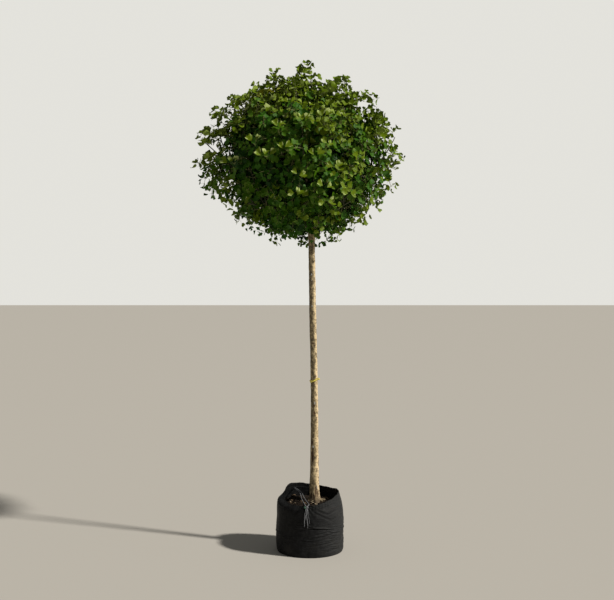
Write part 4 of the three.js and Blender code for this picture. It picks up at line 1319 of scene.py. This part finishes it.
soil = {
    "level": 0.286,
    "sag": 0.010,
    "rows": 44,
    "cols": 150,
    "clear": 0.0030,  # of the bag's wall
    # rings that the bag hides: radius, height
    "hidden": ((0.002, 0.0034), (0.170, 0.0034), (0.184, 0.030), (0.186, 0.20), (0.187, 0.25)),
    "mound": (-0.088, 0.090, 0.024, 0.0022),  # x, y, how high, and its width squared
    # depth, stretch, size, seed, place
    "lumps": [(0.0065, 1, 0.035, 1, "all"), (0.0035, 1, 0.014, 2, "all"), (0.0018, 1, 0.006, 3, "all")],
    "chips": 360,
    "chipsByFoot": 54,
    "chipLength": (0.008, 0.028),
    "chipsInside": 0.016,  # of the bag's lip
    "chipsWithin": 0.94,  # of the soil's reach
    "footRing": (0.044, 0.072),  # where those by the foot lie, from the trunk's middle
    "chipLift": 0.002,
    # tan and pale past these by chance, so much added by the foot, and pale past this
    "chipTones": ([0.88, 1.10], 0.3, 0.975),
    "chipShape": (0.45, 0.0032),  # width as a share of the length, thickness
    "chipPush": (0.9, 0.9, 0.5),  # how far its corners are pushed about, as shares of its size
    # surface roots: how far out they start, how far they turn, start above the soil, sink and wave
    "rootWay": (0.030, 0.35, 0.012, 0.022, 0.002),
    "rootRough": 0.16,
    # and each one's degrees, length and radius
    "roots": [(-38, 0.050, 0.0050), (14, 0.058, 0.0058), (-118, 0.040, 0.0040), (48, 0.070, 0.0050),
              (105, 0.075, 0.0055), (170, 0.065, 0.0045), (-155, 0.050, 0.0040)],
}


def soilRadius(angle):  # as far as the bag's folded wall at the soil's level
    height = soil["level"] - soil["sag"] + 0 * angle
    radius, foot = bag["rings"][-1]
    level = (height - foot) / (ringTable(bag["shoulderHeights"], angle) - foot)
    plain = mix(radius, ringTable(bag["shoulderRadii"], angle), np.clip(level, 0, 1))
    return bagFolds(plain, height, angle)[0] - soil["clear"]


# height(share, angle) = level - sag towards the wall + a mound + lumps of three sizes.
def soilHeight(share, angle, x, y):
    sunk = soil["sag"] * (1 + 0.4 * np.sin(3 * angle)) * softStep(0.35, 1.0, share)
    lumps = cloudLayers(np.stack([x, y, 0 * x], -1), soil["lumps"], {"all": 1.0})
    moundX, moundY, rise, breadth = soil["mound"]
    mound = rise * np.exp(-((x - moundX) ** 2 + (y - moundY) ** 2) / breadth)
    return soil["level"] - sunk + mound + lumps * softStep(1.02, 0.9, share)


# The soil is closed too: a plain side and underside that the bag hides, and the top from the wall
# in to the trunk's foot.
def makeSoil():
    cols = soil["cols"]
    angle = roundSteps(cols)
    share = np.linspace(0.03, 1, soil["rows"])[:, None]
    foot = trunkCentre(soil["level"])
    edge = soilRadius(angle)
    x = mix(foot, edge * np.cos(angle), share)
    y = share * edge * np.sin(angle)
    top = np.stack([x, y, soilHeight(share, angle[None], x, y)], -1)[::-1]
    side = np.stack([np.stack([r * np.cos(angle), r * np.sin(angle), 0 * angle + z], -1)
                     for r, z in soil["hidden"]])
    rings = np.concatenate([side, top])
    points = np.vstack([rings.reshape(-1, 3), [[0, 0, soil["hidden"][0][1]], [foot, 0, soil["level"]]]])
    finish = grainFinish("dark potting soil", *soilColours["dark potting soil"], **soilLook)
    addPiece("potting_soil", points, skinFaces(len(rings), cols), [finish], ["root_ball_soil"])
    print("soil made")


soilLook = {"gloss": (0.95, 0.2), "grain": (130, 5, 0.65), "levels": (0.40, 0.68), "depth": (0.003, 0.8)}
chipLook = {"gloss": (0.85, 0.25), "grain": (120, 4, 0.6), "levels": (0.35, 0.70),
            "depth": (0.001, 0.6), "relief": (400, 3)}
soilColours = {
    "dark potting soil": ((0.006, 0.0045, 0.0035), (0.030, 0.020, 0.013)),
    "dark bark chip": ((0.010, 0.007, 0.005), (0.032, 0.020, 0.012)),
    "tan bark chip": ((0.080, 0.050, 0.030), (0.200, 0.140, 0.085)),
    "pale wood chip": ((0.26, 0.20, 0.13), (0.44, 0.37, 0.27)),
    "surface root": ((0.13, 0.10, 0.06), (0.30, 0.25, 0.16)),
}


# Bark chips: eight corners of a flat slab, each pushed about, half sunk in the soil.
def makeChips():
    k = np.arange(soil["chips"])
    angle = 2 * np.pi * chance(k, 90)
    foot = trunkCentre(soil["level"])
    edge = soilRadius(angle)
    lip = ringTable(bag["lipRadii"], angle) - soil["chipsInside"]
    inside = np.minimum(edge * soil["chipsWithin"], lip) / edge
    share = np.sqrt(mix(0.05, 1, chance(k, 91))) * inside
    byFoot = k < soil["chipsByFoot"]
    share = np.where(byFoot, mix(*soil["footRing"], chance(k, 91)) / edge, share)
    x = mix(foot, edge * np.cos(angle), share)
    y = share * edge * np.sin(angle)
    middle = np.stack([x, y, soilHeight(share, angle, x, y) + soil["chipLift"]], -1)
    up = unit(np.stack([chance(k, 92) - 0.5, chance(k, 93) - 0.5, 0 * k + 1.1], -1))
    along = unit(np.cross(up, directionOf(360 * chance(k, 94), 0)))
    over = np.cross(up, along)
    long = mix(*soil["chipLength"], chance(k, 95) ** 1.6)[:, None]
    wide, thick = soil["chipShape"]
    sizes = np.concatenate([long, long * wide, 0 * long + thick], 1) / 2
    corner = np.array([[i, j, h] for h in (-1, 1) for j in (-1, 1) for i in (-1, 1)], float)
    push = np.stack([np.stack([chance(k * 8 + i, 96 + a) for a in range(3)], -1) for i in range(8)], 1) - 0.5
    local = (corner + push * np.array(soil["chipPush"])) * sizes[:, None]
    points = middle[:, None] + local @ np.stack([along, over, up], 1)
    box = np.array([[0, 2, 3, 1], [4, 5, 7, 6], [0, 1, 5, 4], [2, 6, 7, 3], [0, 4, 6, 2], [1, 3, 7, 5]])
    faces = (box + (k * 8)[:, None, None]).reshape(-1, 4)
    levels, paler, palest = soil["chipTones"]
    tone = np.digitize(chance(k, 99) + paler * byFoot, levels)
    tone[chance(k, 99) > palest] = 2
    finishes = [grainFinish(name, *soilColours[name], **chipLook)
                for name in ("dark bark chip", "tan bark chip", "pale wood chip")]
    addPiece("bark_chips", points.reshape(-1, 3), [faces], finishes, ["root_ball_soil"],
             kinds=np.repeat(tone, 6), smooth=False)
    print("bark chips made")


# Surface roots: each runs out from the trunk's foot in a slight bend, sinks and thins.
def makeRoots():
    parts = []
    foot = trunkCentre(soil["level"])
    share = np.linspace(0, 1, 16)
    start, bend, above, sink, sway = soil["rootWay"]
    for i, (degrees, length, radius) in enumerate(soil["roots"]):
        turn = np.radians(degrees) + bend * np.sin(share * 3 + i)
        far = start + share * length
        height = soil["level"] + above - sink * share**1.5 + sway * np.sin(9 * share + i)
        path = np.stack([foot + far * np.cos(turn), far * np.sin(turn), height], -1)
        rough = 1 + soil["rootRough"] * cloud(np.stack([share * 8, 0 * share + i, 0 * share], -1), 0.8, 4)
        parts.append(tubeMesh(path[None], mix(radius, radius * 0.25, share) * rough, 8))
    points, faces = joinMeshes(parts)
    finish = grainFinish("surface root", *soilColours["surface root"], **chipLook)
    addPiece("surface_roots", points, faces, [finish], ["root_ball_soil"])
    print("surface roots made")


cord = {
    "radius": 0.0023,
    "lay": 0.011,  # of one twist
    "knot": (-0.0195, -0.1955, 0.2945),
    # the strands at the collar: degrees round, half apart, how far out, height
    "start": (123, 1.6, 0.1725, 0.336),
    # and on their way over the soil: x, y, height, half apart
    "strand": [(-0.058, 0.030, 0.334, 0.005), (-0.040, -0.090, 0.320, 0.009)],
    "tails": {-1: (-0.0033, 0.90), 1: (0.0007, 1.0)},  # left and right: lean, share of the length
    "tailRadius": 0.85,  # as a share of the strands'
    "tailSway": (0.0024, 1.9),  # how far and how fast
    "yarnSway": (0.0015, 2.3),
    # the tails' way down the bag: below the knot, out from the middle
    "tail": [(0.014, 0.1985), (0.030, 0.2030), (0.056, 0.2056), (0.084, 0.2060), (0.106, 0.2058)],
    # yarns: where they start, how far they lean, length as a share of the tails
    "yarns": [(-0.006, -0.010, 0.72), (0.005, 0.011, 0.86), (0.0, -0.003, 0.6)],
    "yarnRadii": (0.0012, 0.0008),
    "frays": 5,  # at each tail's end
    "frayRadii": (0.0009, 0.0004),
    "knotSize": (0.0026, 0.0022, 0.0024),
    "ripple": 0.13,  # of the radius
    "look": {"gloss": (0.65, 0.35), "grain": (420, 3, 0.6), "levels": (0.42, 0.66),
             "depth": (0.0006, 0.6)},
    "colours": ((0.085, 0.090, 0.100), (0.29, 0.30, 0.32)),
}


# A laid cord: a round section whose radius ripples three times round, turning on along the path.
def laidCord(path, radius, sides=10):
    twist = 2 * np.pi * runAlong(path)[:, None] / cord["lay"]
    ripple = np.cos(3 * roundSteps(sides)[None] - twist)
    return tubeMesh(path[None], (radius * (1 + cord["ripple"] * ripple))[None], sides)


# Points down the bag's front from the knot, which start aside, lean more and more and sway.
def hangDown(start, lean, length, sway, pace, phase):
    drop, away = np.array(cord["tail"]).T
    i = np.arange(len(drop))
    x = cord["knot"][0] + start + lean * i + sway * np.sin(pace * i + phase)
    return np.stack([x, -away, cord["knot"][2] - drop * length], -1)


# The drawstring: on each side a strand from the collar over the lip to the knot, and a tail with
# a frayed end. Thin yarns hang loose between the tails.
def makeDrawstring():
    knot = np.array(cord["knot"])
    lip = knot + np.array([0, 0.009, 0.005])
    parts = []
    degrees, apart, far, height = cord["start"]
    for side, (lean, length) in cord["tails"].items():
        angle = np.radians(degrees - apart * side)
        path = [(far * np.cos(angle), far * np.sin(angle), height)]
        path += [(x + shift * side, y, z) for x, y, z, shift in cord["strand"]]
        path += [lip + (0.012 * side, 0.014, 0.0075), lip + (0.008 * side, -0.005, 0.006),
                 knot + (0.003 * side, 0, 0.002)]
        parts.append(laidCord(smoothPath(path, 150), cord["radius"]))
        down = hangDown(0.001 * side, lean, length, *cord["tailSway"], side)
        path = np.vstack([knot + (0.002 * side, 0, 0), down])
        parts.append(laidCord(smoothPath(path, 60), cord["radius"] * cord["tailRadius"]))
        end = path[-1]
        for i in range(cord["frays"]):
            sway = np.array([0.0022 * np.cos(i * 2.4 + side), 0.0012 * np.sin(i * 2.4) - 0.0008,
                             -0.010 - 0.0012 * i])
            yarn = np.stack([end + [0, 0, 0.002], end + sway * 0.5, end + sway])
            parts.append(tubeMesh(smoothPath(yarn, 6)[None], np.linspace(*cord["frayRadii"], 6), 4))
    for start, lean, length in cord["yarns"]:
        path = smoothPath(hangDown(start, lean / 4, length, *cord["yarnSway"], 90 * start), 40)
        parts.append(tubeMesh(path[None], np.linspace(*cord["yarnRadii"], 40), 5))
    t = np.linspace(0, 2 * np.pi, 90)
    wide = 2 + np.cos(3 * t)  # a trefoil: (2 + cos 3t) (cos 2t, sin 2t), and sin 3t across
    trefoil = np.stack([wide * np.cos(2 * t), 0.9 * np.sin(3 * t), wide * np.sin(2 * t)], -1)
    parts.append(laidCord(knot + trefoil * np.array(cord["knotSize"]), cord["radius"]))
    points, faces = joinMeshes(parts)
    finish = grainFinish("drawstring cord", *cord["colours"], **cord["look"])
    addPiece("drawstring", points, faces, [finish], ["bag_drawstring"])
    print("drawstring made")


lock = {
    "ends": ((-0.0165, -0.006, 0.006), (-0.0045, -0.0085, -0.005)),  # from the knot
    "radius": 0.0058,
    "ribs": (0.05, 30),  # depth as a share, and how close they stand
    "look": {"gloss": (0.4, 0.5), "grain": (700, 3), "levels": (0.0, 1.0), "depth": (0.0003, 0.4)},
    "colours": ((0.007, 0.045, 0.022), (0.016, 0.075, 0.045)),
}


# The cord lock: a small ribbed barrel, whose radius is sin(pi * share)^0.28 along its axis.
def makeCordLock():
    share = np.linspace(0, 1, 26)
    depth, close = lock["ribs"]
    radius = lock["radius"] * np.sin(np.pi * np.clip(share, 0.02, 0.98)) ** 0.28
    start, end = np.array(lock["ends"])
    path = np.array(cord["knot"]) + mix(start, end, share[:, None])
    points, faces = tubeMesh(path[None], radius * (1 + depth * np.cos(share * close)), 20)
    finish = grainFinish("green cord lock", *lock["colours"], **lock["look"])
    addPiece("cord_lock", points, faces, [finish], ["bag_drawstring"])
    print("cord lock made")


tie = {
    "height": 1.013,
    "tilt": 15,  # degrees, higher on the right
    "radius": 0.0023,
    "lay": 0.013,  # of one twist
    "off": (0.0031, 0.0007),  # how far the ring lies off the bark, and how much that varies
    "wave": 0.0034,  # up and down, so that its two turns cross
    "colours": ((0.72, 0.60, 0.05), (0.95, 0.86, 0.30)),
    "ends": [[(0.016, -0.018, 0.007), (0.023, -0.016, 0.011), (0.029, -0.014, 0.009),
              (0.031, -0.013, 0.004)],
             [(-0.012, -0.021, -0.006), (-0.018, -0.018, -0.009), (-0.022, -0.016, -0.013)]],
}


# Twine: two plies, each a tube on a helix about the ring round the trunk or about a loose end.
def makeTie():
    centre = np.array([trunkCentre(tie["height"]), 0, tie["height"]])
    turn = np.linspace(0, 4 * np.pi, 220)
    off, uneven = tie["off"]
    far = trunkRadius(np.array(tie["height"])) + off + uneven * np.sin(turn * 3)
    climb = np.tan(np.radians(tie["tilt"])) * far * np.cos(turn)
    climb = climb + tie["wave"] * np.sin(turn / 2) * np.cos(turn * 2.3)
    ring = centre + np.stack([far * np.cos(turn), far * np.sin(turn), climb], -1)
    parts = []
    for path in [ring] + [smoothPath(centre + np.array(end), 30) for end in tie["ends"]]:
        _, side, over = framesAlong(path[None])
        twist = 2 * np.pi * runAlong(path)[:, None] / tie["lay"]
        for start in (0, np.pi):
            around = side[0] * np.cos(twist + start) + over[0] * np.sin(twist + start)
            ply = path + around * tie["radius"] * 0.75
            parts.append(tubeMesh(ply[None], np.full(len(ply), tie["radius"]), 6))
    points, faces = joinMeshes(parts)
    finish = grainFinish("yellow twine", *tie["colours"], **cord["look"])
    addPiece("yellow_twine", points, faces, [finish], ["trunk_tie"])
    print("twine made")


setStage()
makeTrunk()
makeCrown()
makeBag()
makeSoil()
makeChips()
makeRoots()
makeDrawstring()
makeCordLock()
makeTie()
makeFloor()
